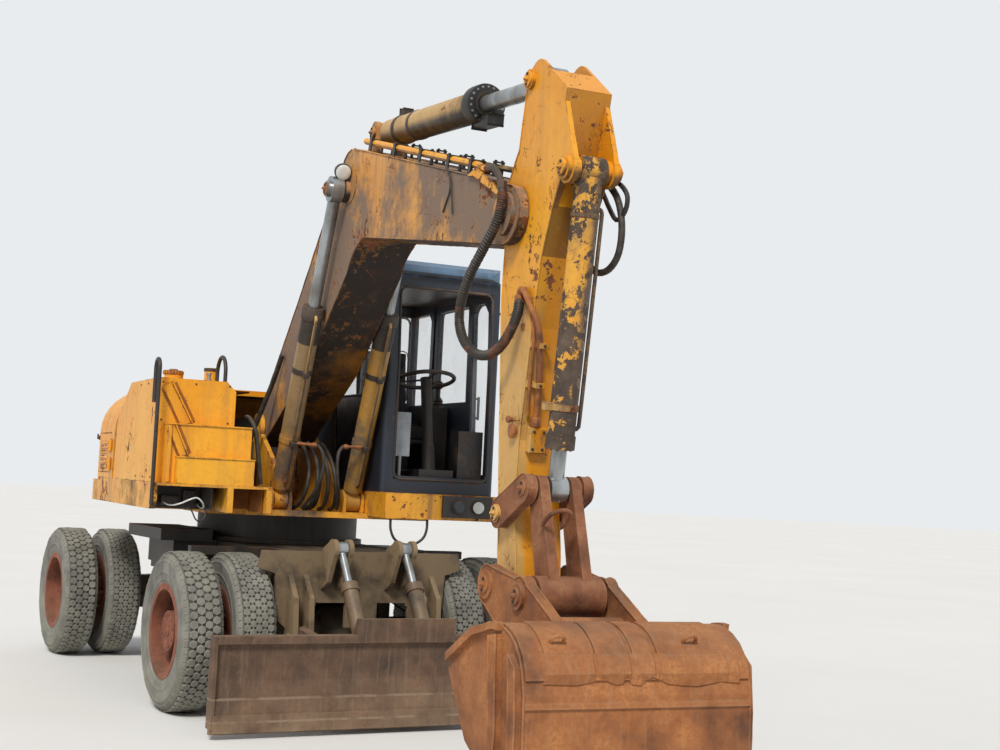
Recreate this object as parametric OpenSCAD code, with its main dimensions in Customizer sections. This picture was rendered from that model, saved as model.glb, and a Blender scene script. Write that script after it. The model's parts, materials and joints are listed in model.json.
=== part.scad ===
// Wheeled excavator, 13 tonne class, twin tyres, blade at one end, bucket parked on its edge.
// Frame: +X towards the blade end, +Y to the left, +Z up, millimetres, ground at z = 0.

/* [Stance] */
// Turn of the upper body on its slewing ring, as parked
swing_rest = -4.4; // [-10:0.2:10]
// Rigid axle with planet hubs, ahead of the slewing axis
near_x = 1250; // [1150:10:1350]
// Steered axle, behind the slewing axis
far_x = -1800; // [-1900:10:-1700]
// Running gap round pins and between turning faces
run_gap = 0.3; // [0.2:0.1:0.6]
// Side gap between parts that swing past each other
side_gap = 6; // [5:1:9]

/* [Wheels] */
// Outer radius of a tyre
tyre_r = 507; // [490:1:520]
// Width of a tyre over its sidewalls
tyre_w = 258; // [240:1:270]
// Radius of the tyre's bead seat
bead_r = 285; // [275:1:292]
// Middle of the outer tyre from the machine's middle
outer_y = 1090; // [1060:5:1120]
// Spacing of the twin tyres
twin_pitch = 345; // [320:1:370]
// Radius of the rim's flange
flange_r = 302; // [298:1:312]
// Radius of the hub drum between the twin wheels
drum_r = 150; // [130:1:170]
// Radius of the spindle that a wheel turns on
spindle_r = 60; // [45:1:75]
// Distance of the kingpin from the machine's middle
kingpin_y = 500; // [480:5:520]
// Radius of the kingpin
kingpin_r = 32; // [24:1:40]

/* [Chassis] */
// Half width of the frame beside the steered wheels
spine_half = 320; // [280:5:340]
// Half width of the frame under the slewing ring
waist_half = 560; // [500:5:600]
// Underside of the frame
chassis_z0 = 690; // [670:5:720]
// Top of the frame
chassis_z1 = 1040; // [1020:5:1060]
// Outer radius of the slewing ring
ring_r = 590; // [540:5:640]
// Top of the slewing ring
ring_z = 1250; // [1240:5:1260]
// Radius of the towing eye's bore
tow_r = 28; // [24:1:32]
// Thickness of the towing eye's plate
tow_t = 80; // [60:2:90]
// Back of the blade's bracket on the frame
bracket_x = 1600; // [1580:5:1620]
// Pivot of the blade's arms, ahead of the slewing axis
blade_px = 1665; // [1650:5:1680]
// Height of the blade arms' pivot
blade_pz = 500; // [480:5:520]
// Distance of a blade arm from the middle
blade_arm_y = 450; // [430:5:480]
// Rod pin of the blade's cylinders, ahead of the slewing axis
rod_px = 1745; // [1735:5:1760]
// Height of that rod pin
rod_pz = 1075; // [1060:5:1090]
// Distance of a blade cylinder from the middle
blade_cyl_y = 225; // [200:5:250]

/* [Blade] */
// Front face of the blade
blade_x = 2300; // [2280:5:2330]
// Width of the blade
blade_w = 2440; // [2300:10:2500]
// Height of the blade's lower edge when it is parked
blade_z0 = 30; // [20:5:60]
// Height of the blade's top lip
blade_z1 = 590; // [570:5:620]
// Height of the raised middle of the blade
blade_z2 = 690; // [670:5:710]
// Half width of the raised middle
raised_half = 330; // [300:10:360]
// Lower pin of the blade's cylinders
blade_cyl_x = 2150; // [2130:5:2160]
// Height of that pin
blade_cyl_z = 520; // [500:5:540]

/* [Upper body] */
// Half width of the upper body
body_half = 1200; // [1180:5:1220]
// Underside of the upper frame
frame_z0 = 1270; // [1265:1:1275]
// Top of the upper frame's side band
frame_z1 = 1445; // [1430:5:1460]
// Top of the tank and the engine hood
deck_z = 2125; // [2100:5:2150]
// Front edge of the right hand deck
deck_x = 1400; // [1380:5:1430]
// Middle of the tail's corner arcs, behind the slewing axis
tail_cx = -760; // [-800:5:-740]
// Radius of the tail's corner arcs
tail_r = 940; // [900:5:960]
// Radius that rounds the tail towards its top
tail_top_r = 330; // [280:5:380]
// Face between counterweight and engine housing
weight_x = -1020; // [-1060:5:-990]
// Radius of the lifting socket in the counterweight
socket_r = 30; // [24:1:36]
// Depth of that socket
socket_d = 60; // [50:2:80]
// Thickness of sheet metal covers
sheet = 12; // [8:1:16]
// Front face of the tank
tank_x = 1200; // [1180:5:1220]
// Inner side of the tank
tank_y = -690; // [-710:5:-670]
// Radius of the handrail tube
rail_r = 13; // [11:0.5:17]
// Rear end of the tank
tank_x0 = 340; // [320:5:360]
// Front of the upper step
step2_x = 1320; // [1300:5:1340]
// Front of the lower step
step3_x = 1395; // [1370:5:1400]

/* [Cab] */
// Rear wall of the cab
cab_x0 = -430; // [-440:5:-400]
// Front of the cab at its floor
cab_x1 = 1220; // [1200:5:1240]
// Side of the cab beside the boom
cab_y0 = 346; // [344:1:352]
// Side of the cab with the door
cab_y1 = 1205; // [1195:5:1215]
// Top of the cab's roof
cab_z1 = 3090; // [3070:5:3110]
// Thickness of posts and walls
cab_wall = 50; // [40:1:60]
// Thickness of the window glass
glass_t = 6; // [5:0.5:8]

/* [Boom] */
// Foot pin, ahead of the slewing axis
foot_x = 50; // [40:5:60]
// Height of the foot pin
foot_z = 1860; // [1850:5:1870]
// Pin that joins boom and arm, ahead of the slewing axis
elbow_x = 4240; // [4230:5:4250]
// Height of that pin
elbow_z = 2880; // [2870:5:2890]
// Half width of the boom's box
boom_half = 180; // [170:2:184]
// Wall of the boom and arm boxes
plate_t = 16; // [12:1:20]
// Rod pin of the boom's cylinders, ahead of the slewing axis
lift_px = 1755; // [1745:5:1765]
// Height of that rod pin
lift_pz = 3385; // [3375:5:3395]
// Base pin of the boom's cylinders
lift_bx = 870; // [860:5:880]
// Height of that base pin
lift_bz = 1365; // [1355:5:1375]
// Distance of a boom cylinder from the middle
lift_y = 262; // [260:1:264]
// Outer radius of a boom cylinder's barrel
lift_r = 66; // [60:1:68]
// Foot pin of the arm's cylinder
crowd_bx = 1950; // [1940:5:1960]
// Height of that pin above the ground
crowd_bz = 3745; // [3735:5:3755]
// Outer radius of the arm cylinder's barrel
crowd_r = 88; // [80:1:92]

/* [Arm and bucket] */
// Half width of the arm
arm_half = 120; // [115:1:126]
// Rod pin of the arm's cylinder on the arm
crowd_px = 4340; // [4330:5:4350]
// Height of that pin
crowd_pz = 3545; // [3535:5:3555]
// Upper pin of the bucket's cylinder
curl_bx = 4770; // [4760:5:4780]
// Height of that pin
curl_bz = 3030; // [3020:5:3040]
// Cross pin of the bucket linkage
cross_x = 4560; // [4550:5:4570]
// Height of the cross pin
cross_z = 1530; // [1520:5:1540]
// Pin that joins arm and bucket
tip_x = 4350; // [4340:5:4360]
// Height of that pin
tip_z = 1060; // [1050:5:1070]
// Pin of the guide links on the arm
guide_x = 4285; // [4280:1:4290]
// Height of that pin
guide_z = 1400; // [1395:5:1410]
// Pin that joins bucket link and bucket
link_x = 4715; // [4705:5:4725]
// Height of that pin
link_z = 1035; // [1030:5:1040]
// Outer radius of the bucket cylinder's barrel
curl_r = 66; // [60:1:70]
// Width of the bucket over its side plates
bucket_w = 1090; // [1040:10:1140]
// Thickness of the bucket's shell
shell_t = 22; // [18:1:28]
// Height of the bucket's cutting edge as parked
edge_z = 130; // [120:5:140]

/* [Hidden] */
$fn = 64;

foot = [foot_x, foot_z];
elbow = [elbow_x, elbow_z];
lift_b = [lift_bx, lift_bz];
lift_p = [lift_px, lift_pz];
crowd_b = [crowd_bx, crowd_bz];
crowd_p = [crowd_px, crowd_pz];
curl_b = [curl_bx, curl_bz];
cross = [cross_x, cross_z];
tip = [tip_x, tip_z];
guide = [guide_x, guide_z];
link = [link_x, link_z];
wheel_z = tyre_r;
inner_y = outer_y - twin_pitch;
bucket_front = 5440;
tow_x = far_x - 400;
tow_z = 860;
socket_back = 170;
mid_x = 1597.95;
mid_y = -28.156;

yellow = [0.86, 0.58, 0.09];
pale = [0.88, 0.74, 0.36];
rust = [0.52, 0.27, 0.13];
mud = [0.36, 0.27, 0.19];
black = [0.07, 0.07, 0.08];
navy = [0.09, 0.12, 0.18];
steel = [0.72, 0.73, 0.75];
rubber = [0.30, 0.31, 0.31];

// Inward offset of a polygon whose points run counter-clockwise
function side_normal(a, b) = let (d = (b - a) / norm(b - a)) [-d[1], d[0]];
function inset(p, t) = let (n = len(p)) [for (i = [0:n - 1])
    let (u = side_normal(p[(i + n - 1) % n], p[i]), v = side_normal(p[i], p[(i + 1) % n]))
    p[i] + (u + v) * t / (1 + u * v)];
function arc(c, r, a0, a1, n) = [for (i = [0:n]) let (a = a0 + (a1 - a0) * i / n) c + r * [cos(a), sin(a)]];
function heading(a, b) = atan2(b[1] - a[1], b[0] - a[0]);

// The two halves of the machine in the shared frame
module lower() translate([-mid_x, -mid_y, 0]) children();
module upper() translate([-mid_x, -mid_y, 0]) rotate([0, 0, swing_rest]) children();
// A flat outline in x and z, w wide across y, its middle at y
module slab(w, y = 0) translate([0, y, 0]) rotate([90, 0, 0]) linear_extrude(w, center = true) children();
// A round bar across the machine at point p of the side view
module bar(p, r, w, y = 0) translate([p[0], y, p[1]]) rotate([90, 0, 0]) cylinder(r = r, h = w, center = true);
module box(x0, x1, y0, y1, z0, z1) translate([x0, y0, z0]) cube([x1 - x0, y1 - y0, z1 - z0]);
module both_sides() { children(); mirror([0, 1, 0]) children(); }
// A round bar from point a towards point b of the side view, between two distances from a
module rod_along(a, b, r, d0, d1, y = 0)
    translate([a[0], y, a[1]]) rotate([0, 90 - heading(a, b), 0]) translate([0, 0, d0]) cylinder(r = r, h = d1 - d0);
// A strut in the side view: two round ends joined by straight edges
module strut(a, b, ra, rb, w, y = 0) slab(w, y) {
    h = heading(a, b);
    k = asin((rb - ra) / norm(b - a));
    translate(a) circle(r = ra);
    translate(b) circle(r = rb);
    polygon([a + ra * [cos(h + 90 + k), sin(h + 90 + k)], a + ra * [cos(h - 90 - k), sin(h - 90 - k)],
             b + rb * [cos(h - 90 - k), sin(h - 90 - k)], b + rb * [cos(h + 90 + k), sin(h + 90 + k)]]);
}

// Chassis

module chassis_frame() color(black) lower() {
    // Spine, waist and the legs over the rigid axle
    box(far_x - 330, -900, -spine_half, spine_half, chassis_z0, chassis_z1);
    difference() {
        box(-900, 1080, -waist_half, waist_half, chassis_z0, chassis_z1);
        box(-840, 1020, -waist_half + 40, waist_half - 40, chassis_z0 - 1, chassis_z1 - 30);
    }
    box(1080, bracket_x, -480, 480, chassis_z0 + 30, chassis_z1);
    cylinder_seat();
    // Saddles that carry the two axles
    both_sides() box(near_x - 90, near_x + 90, 250, 330, wheel_z + 90 + run_gap, chassis_z0 + 31);
    difference() {
        for (s = [-1, 1]) box(far_x + s * 190 - 15, far_x + s * 190 + 15, -90, 90, wheel_z + 55, chassis_z0 + 1);
        translate([far_x, 0, wheel_z + 110]) rotate([0, 90, 0]) cylinder(r = 35, h = 500, center = true);
    }
    // Tool box on the right and ladder box on the left
    box(-300, 300, -880, 1 - waist_half, 860, chassis_z1);
    box(-400, 420, -1010, -ring_r - 50, chassis_z1 - 1, 1120);
    box(-420, 300, waist_half, 1120, 800, 1000);
    // Cross plate at the blade end
    translate([bracket_x - 25, 0, 0]) rotate([90, 0, 90]) linear_extrude(25) difference() {
        polygon([[-720, 940], [-604, 905], [-590, 620], [-520, 560], [520, 560], [590, 620], [604, 905], [720, 940],
                 [700, chassis_z1 + 10], [-700, chassis_z1 + 10]]);
        for (s = [-1, 1]) translate([s * blade_cyl_y, 0]) {
            translate([0, 850]) circle(r = 112);
            translate([-112, 500]) square([224, 350]);
        }
    }
    both_sides() for (y = [blade_arm_y - 120, blade_arm_y + 120]) slab(22, y)
        polygon([[bracket_x - 1, 700], [bracket_x - 1, chassis_z1], [bracket_x - 260, chassis_z1], [bracket_x - 260, 960]]);
    box(1010, 1080, -1000, 1000, 985, chassis_z1);
    // Ears for the blade's arms and for its cylinder rods
    both_sides() {
        for (s = [-1, 1]) blade_ear(blade_arm_y + s * (30 + side_gap + 17));
        bar([blade_px, blade_pz], 35 - run_gap, 2 * (30 + side_gap + 34) + 30, blade_arm_y);
        for (s = [-1, 1]) rod_ear(blade_cyl_y + s * (32 + side_gap + 14));
    }
    // Towing eye at the far end
    difference() {
        translate([0, 0, tow_z - tow_t / 2]) linear_extrude(tow_t)
            polygon([[far_x - 329, -110], [far_x - 329, 110], [far_x - 420, 80], [tow_x - 70, 30], [tow_x - 70, -30],
                     [far_x - 420, -80]]);
        translate([tow_x, 0, tow_z]) cylinder(r = tow_r, h = 2 * tow_t, center = true);
    }
}
module cylinder_seat() translate([0, 0, chassis_z1 - 1]) cylinder(r = ring_r + 40, h = 31);
module blade_ear(y) slab(34, y)
    union() {
        translate([blade_px, blade_pz]) circle(r = 85);
        polygon([[bracket_x - 2, 900], [bracket_x - 2, blade_pz - 60], [blade_px, blade_pz - 85],
                 [blade_px + 85, blade_pz], [blade_px + 60, 760]]);
    }
module rod_ear(y) slab(28, y)
    union() {
        translate([rod_px, rod_pz]) circle(r = 62);
        polygon([[bracket_x - 2, chassis_z1 + 30], [bracket_x - 2, 800], [rod_px - 40, 860], [rod_px + 62, rod_pz],
                 [rod_px, rod_pz + 62]]);
    }

module slew_ring() color(black) lower() {
    translate([0, 0, chassis_z1 + 30]) difference() {
        cylinder(r = ring_r, h = ring_z - chassis_z1 - 30);
        translate([0, 0, -1]) cylinder(r = ring_r - 90, h = 400);
    }
}

// Spindle stub that a wheel's drum turns on, from y0 to y1 on the left
module spindle(x, y0, y1) translate([x, y0, wheel_z]) rotate([-90, 0, 0]) cylinder(r = spindle_r, h = y1 - y0);

module rigid_axle() color(black) lower() {
    translate([near_x, 0, wheel_z]) {
        rotate([90, 0, 0]) cylinder(r = 90, h = 1180, center = true);
        difference() {
            sphere(r = 190);
            translate([-200, -200, 170]) cube(400);
        }
        both_sides() translate([0, 588, 0]) rotate([90, 0, 0]) cylinder(r = 135, h = 60);
        both_sides() box(-110, 110, 235, 345, 0, 90);
    }
    both_sides() spindle(near_x, 580, inner_y + 40);
    // Gearbox on the axle and the shaft to the steered axle
    box(near_x - 470, near_x - 150, -170, 170, wheel_z - 110, wheel_z + 170);
    rod_along([near_x - 160, wheel_z], [far_x, wheel_z], 62, 0, 400);
    rod_along([near_x - 460, wheel_z], [far_x, wheel_z], 38, 0, near_x - 460 - far_x - 165 - run_gap);
}

module steer_axle() color(black) lower() {
    difference() {
        union() {
            box(far_x - 90, far_x + 90, -420, 420, wheel_z - 85, wheel_z + 85);
            translate([far_x, 0, wheel_z]) sphere(r = 165);
            translate([far_x, 0, wheel_z + 110]) rotate([0, 90, 0]) cylinder(r = 35 - run_gap, h = 430, center = true);
            both_sides() for (z = [-1, 1]) translate([0, 0, wheel_z + z * 112]) {
                translate([far_x, kingpin_y, 0]) cylinder(r = 62, h = 40, center = true);
                box(far_x - 62, far_x + 62, 400, kingpin_y, -20, 20);
            }
            both_sides() box(far_x - 90, far_x + 90, 380, 420, wheel_z - 132, wheel_z + 132);
        }
    }
    both_sides() translate([far_x, kingpin_y, wheel_z - 125]) cylinder(r = kingpin_r, h = 250);
}

module knuckle(s) color(black) lower() mirror([0, s < 0 ? 1 : 0, 0]) difference() {
    union() {
        translate([far_x, kingpin_y, wheel_z - 92 + run_gap]) cylinder(r = 66, h = 184 - 2 * run_gap);
        translate([far_x, kingpin_y, wheel_z]) rotate([-90, 0, 0]) cylinder(r = 80, h = 588 - kingpin_y);
        spindle(far_x, 580, inner_y + 40);
        box(far_x + 20, far_x + 165, kingpin_y - 25, kingpin_y + 30, wheel_z - 60, wheel_z - 25);
    }
    translate([far_x, kingpin_y, 0]) cylinder(r = kingpin_r + run_gap, h = 1000);
}
module knuckle_right() knuckle(-1);
module knuckle_left() knuckle(1);

// Wheels

// Section of a tyre: [radius, place along the axle]
function tyre_section() = let (h = tyre_w / 2) [[bead_r, -h + 24], [bead_r + 115, -h], [tyre_r - 27, -h + 17],
    [tyre_r, -h + 52], [tyre_r, h - 52], [tyre_r - 27, h - 17], [bead_r + 115, h], [bead_r, h - 24]];
module on_axle(x, s, y) lower() translate([x, s * y, wheel_z]) rotate([s > 0 ? -90 : 90, 0, 0]) children();
module tyres(x, s) color(rubber) for (y = [outer_y, inner_y])
    on_axle(x, s, y) rotate_extrude() polygon(tyre_section());

// Both rims of a twin wheel on one drum, with the place outwards along the axle as its height
module rims(x, s, cap) color(rust) on_axle(x, s, inner_y) difference() {
    union() {
        for (y = [0, twin_pitch]) translate([0, 0, y]) rotate_extrude() rim_section();
        translate([0, 0, 95]) cylinder(r = bead_r - 15, h = 16);
        translate([0, 0, twin_pitch - 95 - 16]) cylinder(r = bead_r - 15, h = 16);
        translate([0, 0, 588 - inner_y + run_gap + 4]) cylinder(r = drum_r, h = twin_pitch - (588 - inner_y) - 110);
        cylinder(r = cap[0], h = cap[1]);
        for (i = [0:9]) rotate([0, 0, i * 36]) translate([drum_r + 40, 0, 80]) cylinder(r = 14, h = 185);
    }
    translate([0, 0, -300]) cylinder(r = spindle_r + run_gap, h = 300 + 40 + 10);
}
module rim_section() {
    h = tyre_w / 2 - 20;
    polygon([[bead_r - 22, -h - 8], [flange_r, -h - 8], [flange_r, -h], [bead_r - run_gap, -h + 2],
             [bead_r - run_gap, h - 2], [flange_r, h], [flange_r, h + 8], [bead_r - 22, h + 8]]);
}
near_cap = [128, twin_pitch + 85];
far_cap = [92, twin_pitch - 20];
module tyres_near_right() tyres(near_x, -1);
module tyres_near_left() tyres(near_x, 1);
module tyres_far_right() tyres(far_x, -1);
module tyres_far_left() tyres(far_x, 1);
module rims_near_right() rims(near_x, -1, near_cap);
module rims_near_left() rims(near_x, 1, near_cap);
module rims_far_right() rims(far_x, -1, far_cap);
module rims_far_left() rims(far_x, 1, far_cap);

// Blade

module blade() color(rust) lower() {
    // Mouldboard with a lip along its top and two wear plates along its foot
    slab(blade_w) polygon([[blade_x - 30, blade_z0 + 60], [blade_x - 5, blade_z0 + 60], [blade_x - 30, 330],
        [blade_x - 20, blade_z1 - 60], [blade_x + 12, blade_z1 - 45], [blade_x + 12, blade_z1],
        [blade_x - 70, blade_z1], [blade_x - 60, blade_z1 - 60], [blade_x - 58, 330]]);
    slab(blade_w) polygon([[blade_x - 30, blade_z0], [blade_x + 8, blade_z0], [blade_x - 2, 230], [blade_x - 30, 230]]);
    slab(blade_w - 20) polygon([[blade_x - 20, blade_z0 + 70], [blade_x + 18, blade_z0 + 8],
        [blade_x + 24, blade_z0 + 8], [blade_x + 18, 140], [blade_x - 20, 140]]);
    slab(2 * raised_half) polygon([[blade_x - 70, blade_z1 - 10], [blade_x + 12, blade_z1 - 10],
        [blade_x + 20, blade_z2], [blade_x - 10, blade_z2]]);
    both_sides() box(blade_x - 70, blade_x + 14, blade_w / 2 - 20, blade_w / 2, blade_z0 + 30, blade_z1);
    // Two arms and the lugs of the cylinders
    difference() {
        both_sides() slab(60, blade_arm_y) union() {
            translate([blade_px, blade_pz]) circle(r = 78);
            polygon([[blade_px, blade_pz + 78], [blade_px - 30, blade_pz - 70], [blade_px + 250, 260],
                     [blade_x - 40, 200], [blade_x - 40, 520]]);
        }
        bar([blade_px, blade_pz], 35, 3000);
    }
    box(blade_x - 260, blade_x - 50, -blade_arm_y, blade_arm_y, 250, 380);
    both_sides() for (s = [-1, 1]) slab(24, blade_cyl_y + s * (46 + side_gap + 12)) union() {
        translate([blade_cyl_x, blade_cyl_z]) circle(r = 55);
        polygon([[blade_cyl_x - 55, blade_cyl_z], [blade_x - 230, 300], [blade_x - 50, 300], [blade_x - 50, 520],
                 [blade_cyl_x, blade_cyl_z + 55]]);
    }
    both_sides() bar([blade_cyl_x, blade_cyl_z], 25, 2 * (46 + side_gap + 24), blade_cyl_y);
}
module blade_barrels() color(mud) lower() both_sides() {
    a = [blade_cyl_x, blade_cyl_z];
    b = [rod_px, rod_pz];
    difference() {
        union() {
            bar(a, 55, 92, blade_cyl_y);
            rod_along(a, b, 50, 20, 405, blade_cyl_y);
            rod_along(a, b, 58, 365, 420, blade_cyl_y);
        }
        bar(a, 25 + run_gap, 200, blade_cyl_y);
        rod_along(a, b, 25 + run_gap, 120, 500, blade_cyl_y);
    }
}
module blade_rods() color(steel) lower() both_sides() {
    a = [blade_cyl_x, blade_cyl_z];
    b = [rod_px, rod_pz];
    rod_along(b, a, 25, 30, norm(a - b) - 310, blade_cyl_y);
    bar(b, 48, 64, blade_cyl_y);
}

// Upper body

// Vertical section of the tail out to radius r: [radius, height]
function tail_section(r) = concat([[0, frame_z0], [r, frame_z0]],
    arc([r - tail_top_r, deck_z - tail_top_r], tail_top_r, 0, 90, 8), [[0, deck_z]]);
// The rounded body of the tail, between two places along x
module tail_form(x0, x1, shrink = 0) {
    $fn = 128;
    r = tail_r - shrink;
    cy = body_half - tail_r;
    intersection() {
        union() {
            for (s = [-1, 1]) translate([tail_cx, s * cy, 0]) rotate_extrude() polygon(tail_section(r));
            for (s = [-1, 1]) translate([tail_cx, s * cy, 0]) mirror([0, s < 0 ? 1 : 0, 0]) rotate([90, 0, 90])
                linear_extrude(2000) polygon(tail_section(r));
            translate([tail_cx, 0, 0]) mirror([1, 0, 0]) rotate([90, 0, 0])
                linear_extrude(2 * cy, center = true) polygon(tail_section(r));
            box(tail_cx, tail_cx + 2000, -cy - 1, cy + 1, frame_z0, deck_z - shrink);
        }
        box(x0, x1, -2000, 2000, frame_z0 + shrink, deck_z - shrink);
    }
}

module upper_frame() color(yellow) upper() {
    // Floor plate over the ring and the two ribs that carry the boom
    difference() {
        box(-980, 1010, -800, 800, ring_z + run_gap, frame_z0 + 20);
        translate([0, 0, 1000]) cylinder(r = ring_r - 150, h = 800);
    }
    both_sides()
        slab(34, boom_half + side_gap + 17) union() {
            translate(foot) circle(r = 115);
            polygon([[-250, frame_z0], [lift_bx - 120, frame_z0], [lift_bx - 120, 1440], [520, 1620],
                     [foot_x + 115, foot_z - 40], [foot_x - 115, foot_z - 20], [-250, 1640]]);
        }
    bar(foot, 45 - run_gap, 2 * (boom_half + side_gap + 34 + 12));
    // Brackets of the boom's cylinders
    for (s = [-1, 1]) for (k = [-1, 1])
        slab(22, s * lift_y + k * (48 + side_gap + 11)) union() {
            translate(lift_b) circle(r = 78);
            polygon([[lift_bx - 330, frame_z0], [lift_bx + 70, frame_z0], lift_b + [78, 0], lift_b + [0, 78],
                     [lift_bx - 330, 1440]]);
        }
    for (s = [-1, 1]) bar(lift_b, 40 - run_gap, 2 * (48 + side_gap + 22), s * lift_y);
    // Right hand deck with its band and front bay
    box(-740, deck_x, -body_half, tank_y + 200, frame_z1 - 18, frame_z1);
    slab(40, -body_half + 20) union() {
        polygon([[-1010, frame_z0], [1090, frame_z0], [1160, frame_z0 + 70], [1160, frame_z1 - 17], [-1010, frame_z1 - 17]]);
        translate([1090, frame_z0 + 70]) circle(r = 70);
    }
    box(-560, 1000, -560, -520, frame_z0, frame_z1 - 17);
    box(960, 1000, -body_half, -345, frame_z0, frame_z1);
    box(960, deck_x, -500, -460, frame_z0, frame_z1 - 17);
    box(960, deck_x, -760, -720, frame_z0, frame_z1 - 17);
    // Left hand platform that carries the cab
    difference() {
        box(cab_x0 - 130, deck_x - 50, cab_y0, body_half, frame_z0, frame_z1);
        box(cab_x0 - 80, deck_x - 110, cab_y0 + 40, body_half - 40, frame_z0 - 1, frame_z1 - 18);
    }
    both_sides() box(-980, -500, 227, 800, frame_z0, frame_z0 + 60);
}

module counterweight() color(yellow) upper() difference() {
    tail_form(-3000, weight_x);
    // Socket for the eye that lifts it
    translate([weight_x - socket_back, 0, deck_z - socket_d]) cylinder(r = socket_r, h = 100);
}

slant_x0 = -275;
slant_x1 = 190;
slant_z = 1880;
module engine_housing() color(yellow) upper() difference() {
    tail_form(weight_x + run_gap, slant_x1);
    tail_form(weight_x - 100, slant_x1 + 100, sheet);
    box(-2000, 400, -2000, 2000, frame_z0 - 1, frame_z1 + run_gap);
    // Front edge of the right side, cut on the slant, and the open middle
    slab(4000) polygon([[slant_x0, frame_z0 - 1], [600, frame_z0 - 1], [600, deck_z + 10], [slant_x1 - 5, deck_z + 10],
        [slant_x0 + 40, slant_z]]);
    box(-260, 600, -320, 2000, frame_z0, deck_z + 10);
    // Opening under the hood, door openings and the grille's recess
    box(weight_x + 60, -300, -820, 280, deck_z - 100, deck_z + 10);
    box(weight_x + 60, -350, -body_half - 10, -body_half + 90, frame_z1 + 40, 1780);
    for (i = [0:6]) box(-930 + i * 80, -880 + i * 80, -700, -350, deck_z - 60, deck_z + 10);
    box(weight_x + 60, -650, body_half - 90, body_half + 10, frame_z1 + 40, 1780);
    box(-600, 10, cab_y0 - 20, body_half + 10, frame_z0, deck_z + 10);
}

module engine_hood() color(yellow) upper() {
    box(weight_x + 34, -262, -860, 318, deck_z + run_gap, deck_z + 14);
    translate([-620, -420, deck_z + 13]) cylinder(r = 55, h = 190);
    for (y = [-700, 100]) translate([weight_x + 34, y, deck_z + hinge_r + run_gap]) rotate([-90, 0, 0])
        cylinder(r = hinge_r, h = 120);
}

module engine_block() color(black) upper() {
    box(-960, -450, -420, 320, frame_z0 + 60 + run_gap, 1950);
}

module valve_block() color(black) upper() {
    box(-200, 300, -640, -300, frame_z1 + run_gap, 1760);
    for (i = [0:3]) translate([-100 + i * 100, -420, 1750]) cylinder(r = 22, h = 110);
}

// Hinge knuckles on a door's outer face: x of the axis, outer face, side, heights, reach of the leaf
hinge_r = 12;
module knuckles(x, y, s, heights, reach) for (z = heights) translate([x, y, z]) mirror([reach < 0 ? 1 : 0, 0, 0]) {
    translate([0, s * (hinge_r + run_gap), 0]) cylinder(r = hinge_r, h = 90);
    translate([0, s * (run_gap + 5) - 5, 0]) cube([abs(reach), 10, 90]);
    translate([34, s * 2 - 4, 0]) cube([abs(reach) - 34, 8, 90]);
}
module side_door_right() color(yellow) upper() {
    difference() {
        intersection() {
            tail_form(weight_x, -300);
            box(weight_x + 64, -354, -body_half, -body_half + 88, frame_z1 + 44, 1776);
        }
        tail_form(weight_x - 100, -200, 26);
    }
    knuckles(-322, -body_half, -1, [1500, 1640], -80);
}
module side_door_left() color(yellow) upper() {
    difference() {
        intersection() {
            tail_form(weight_x, -600);
            box(weight_x + 64, -654, body_half - 88, body_half, frame_z1 + 44, 1776);
        }
        tail_form(weight_x - 100, -500, 26);
    }
    knuckles(-622, body_half, 1, [1500, 1640], -80);
}

module tank_steps() color(yellow) upper() {
    difference() {
        box(tank_x0, tank_x, -body_half, tank_y, frame_z1 + run_gap, deck_z);
        translate([tank_x + 1, tank_y, deck_z]) rotate([0, -90, 0]) rotate([0, 0, 45])
            cube([90, 90, 2 * tank_x], center = true);
    }
    box(tank_x - 1, step2_x, 50 - body_half, tank_y + 90, frame_z1 + run_gap, 1820);
    box(step2_x - 1, step3_x, 105 - body_half, tank_y + 100, frame_z1 + run_gap, 1610);
    translate([tank_x - 230, 140 - body_half, deck_z - 1]) cylinder(r = 62, h = 36);
    // Pale side panel with its rear edge on the slant, and the cover behind the tank
    slab(26, -body_half + 13) polygon([[-200, frame_z1 + run_gap], [tank_x0 + 1, frame_z1 + run_gap],
        [tank_x0 + 1, deck_z], [270, deck_z], [-165, slant_z - 10]]);
    box(275, tank_x0 + 1, -body_half + 25, tank_y, deck_z - sheet, deck_z);
}

module rail_hoop(x, y, z0, z1, w) translate([x, y, 0]) {
    for (s = [0, w]) translate([-s, 0, z0]) cylinder(r = rail_r, h = z1 - z0 - w / 2);
    translate([-w / 2, 0, z1 - w / 2]) rotate([90, 0, 0]) rotate_extrude(angle = 180)
        translate([w / 2, 0]) circle(r = rail_r);
}
module handrails() color(black) upper() {
    translate([1290, -body_half - 22, 1300]) cylinder(r = rail_r, h = 880);
    translate([1230, -body_half - 22, 2180]) rotate([90, 0, 0]) rotate_extrude(angle = 180)
        translate([60, 0]) circle(r = rail_r);
    translate([1170, -body_half - 22, 1960]) cylinder(r = rail_r, h = 220);
    translate([1290, -body_half - 22, frame_z1 - 9]) rotate([-90, 0, 0]) cylinder(r = 8, h = 22 - run_gap);
    for (z = [1990, 2080]) translate([1170, -body_half - 22, z]) rotate([-90, 0, 0]) cylinder(r = 8, h = 22 - run_gap);
    rail_hoop(tank_x - 20, tank_y - 75, deck_z + run_gap, deck_z + 170, 220);
}

// Cab

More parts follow.
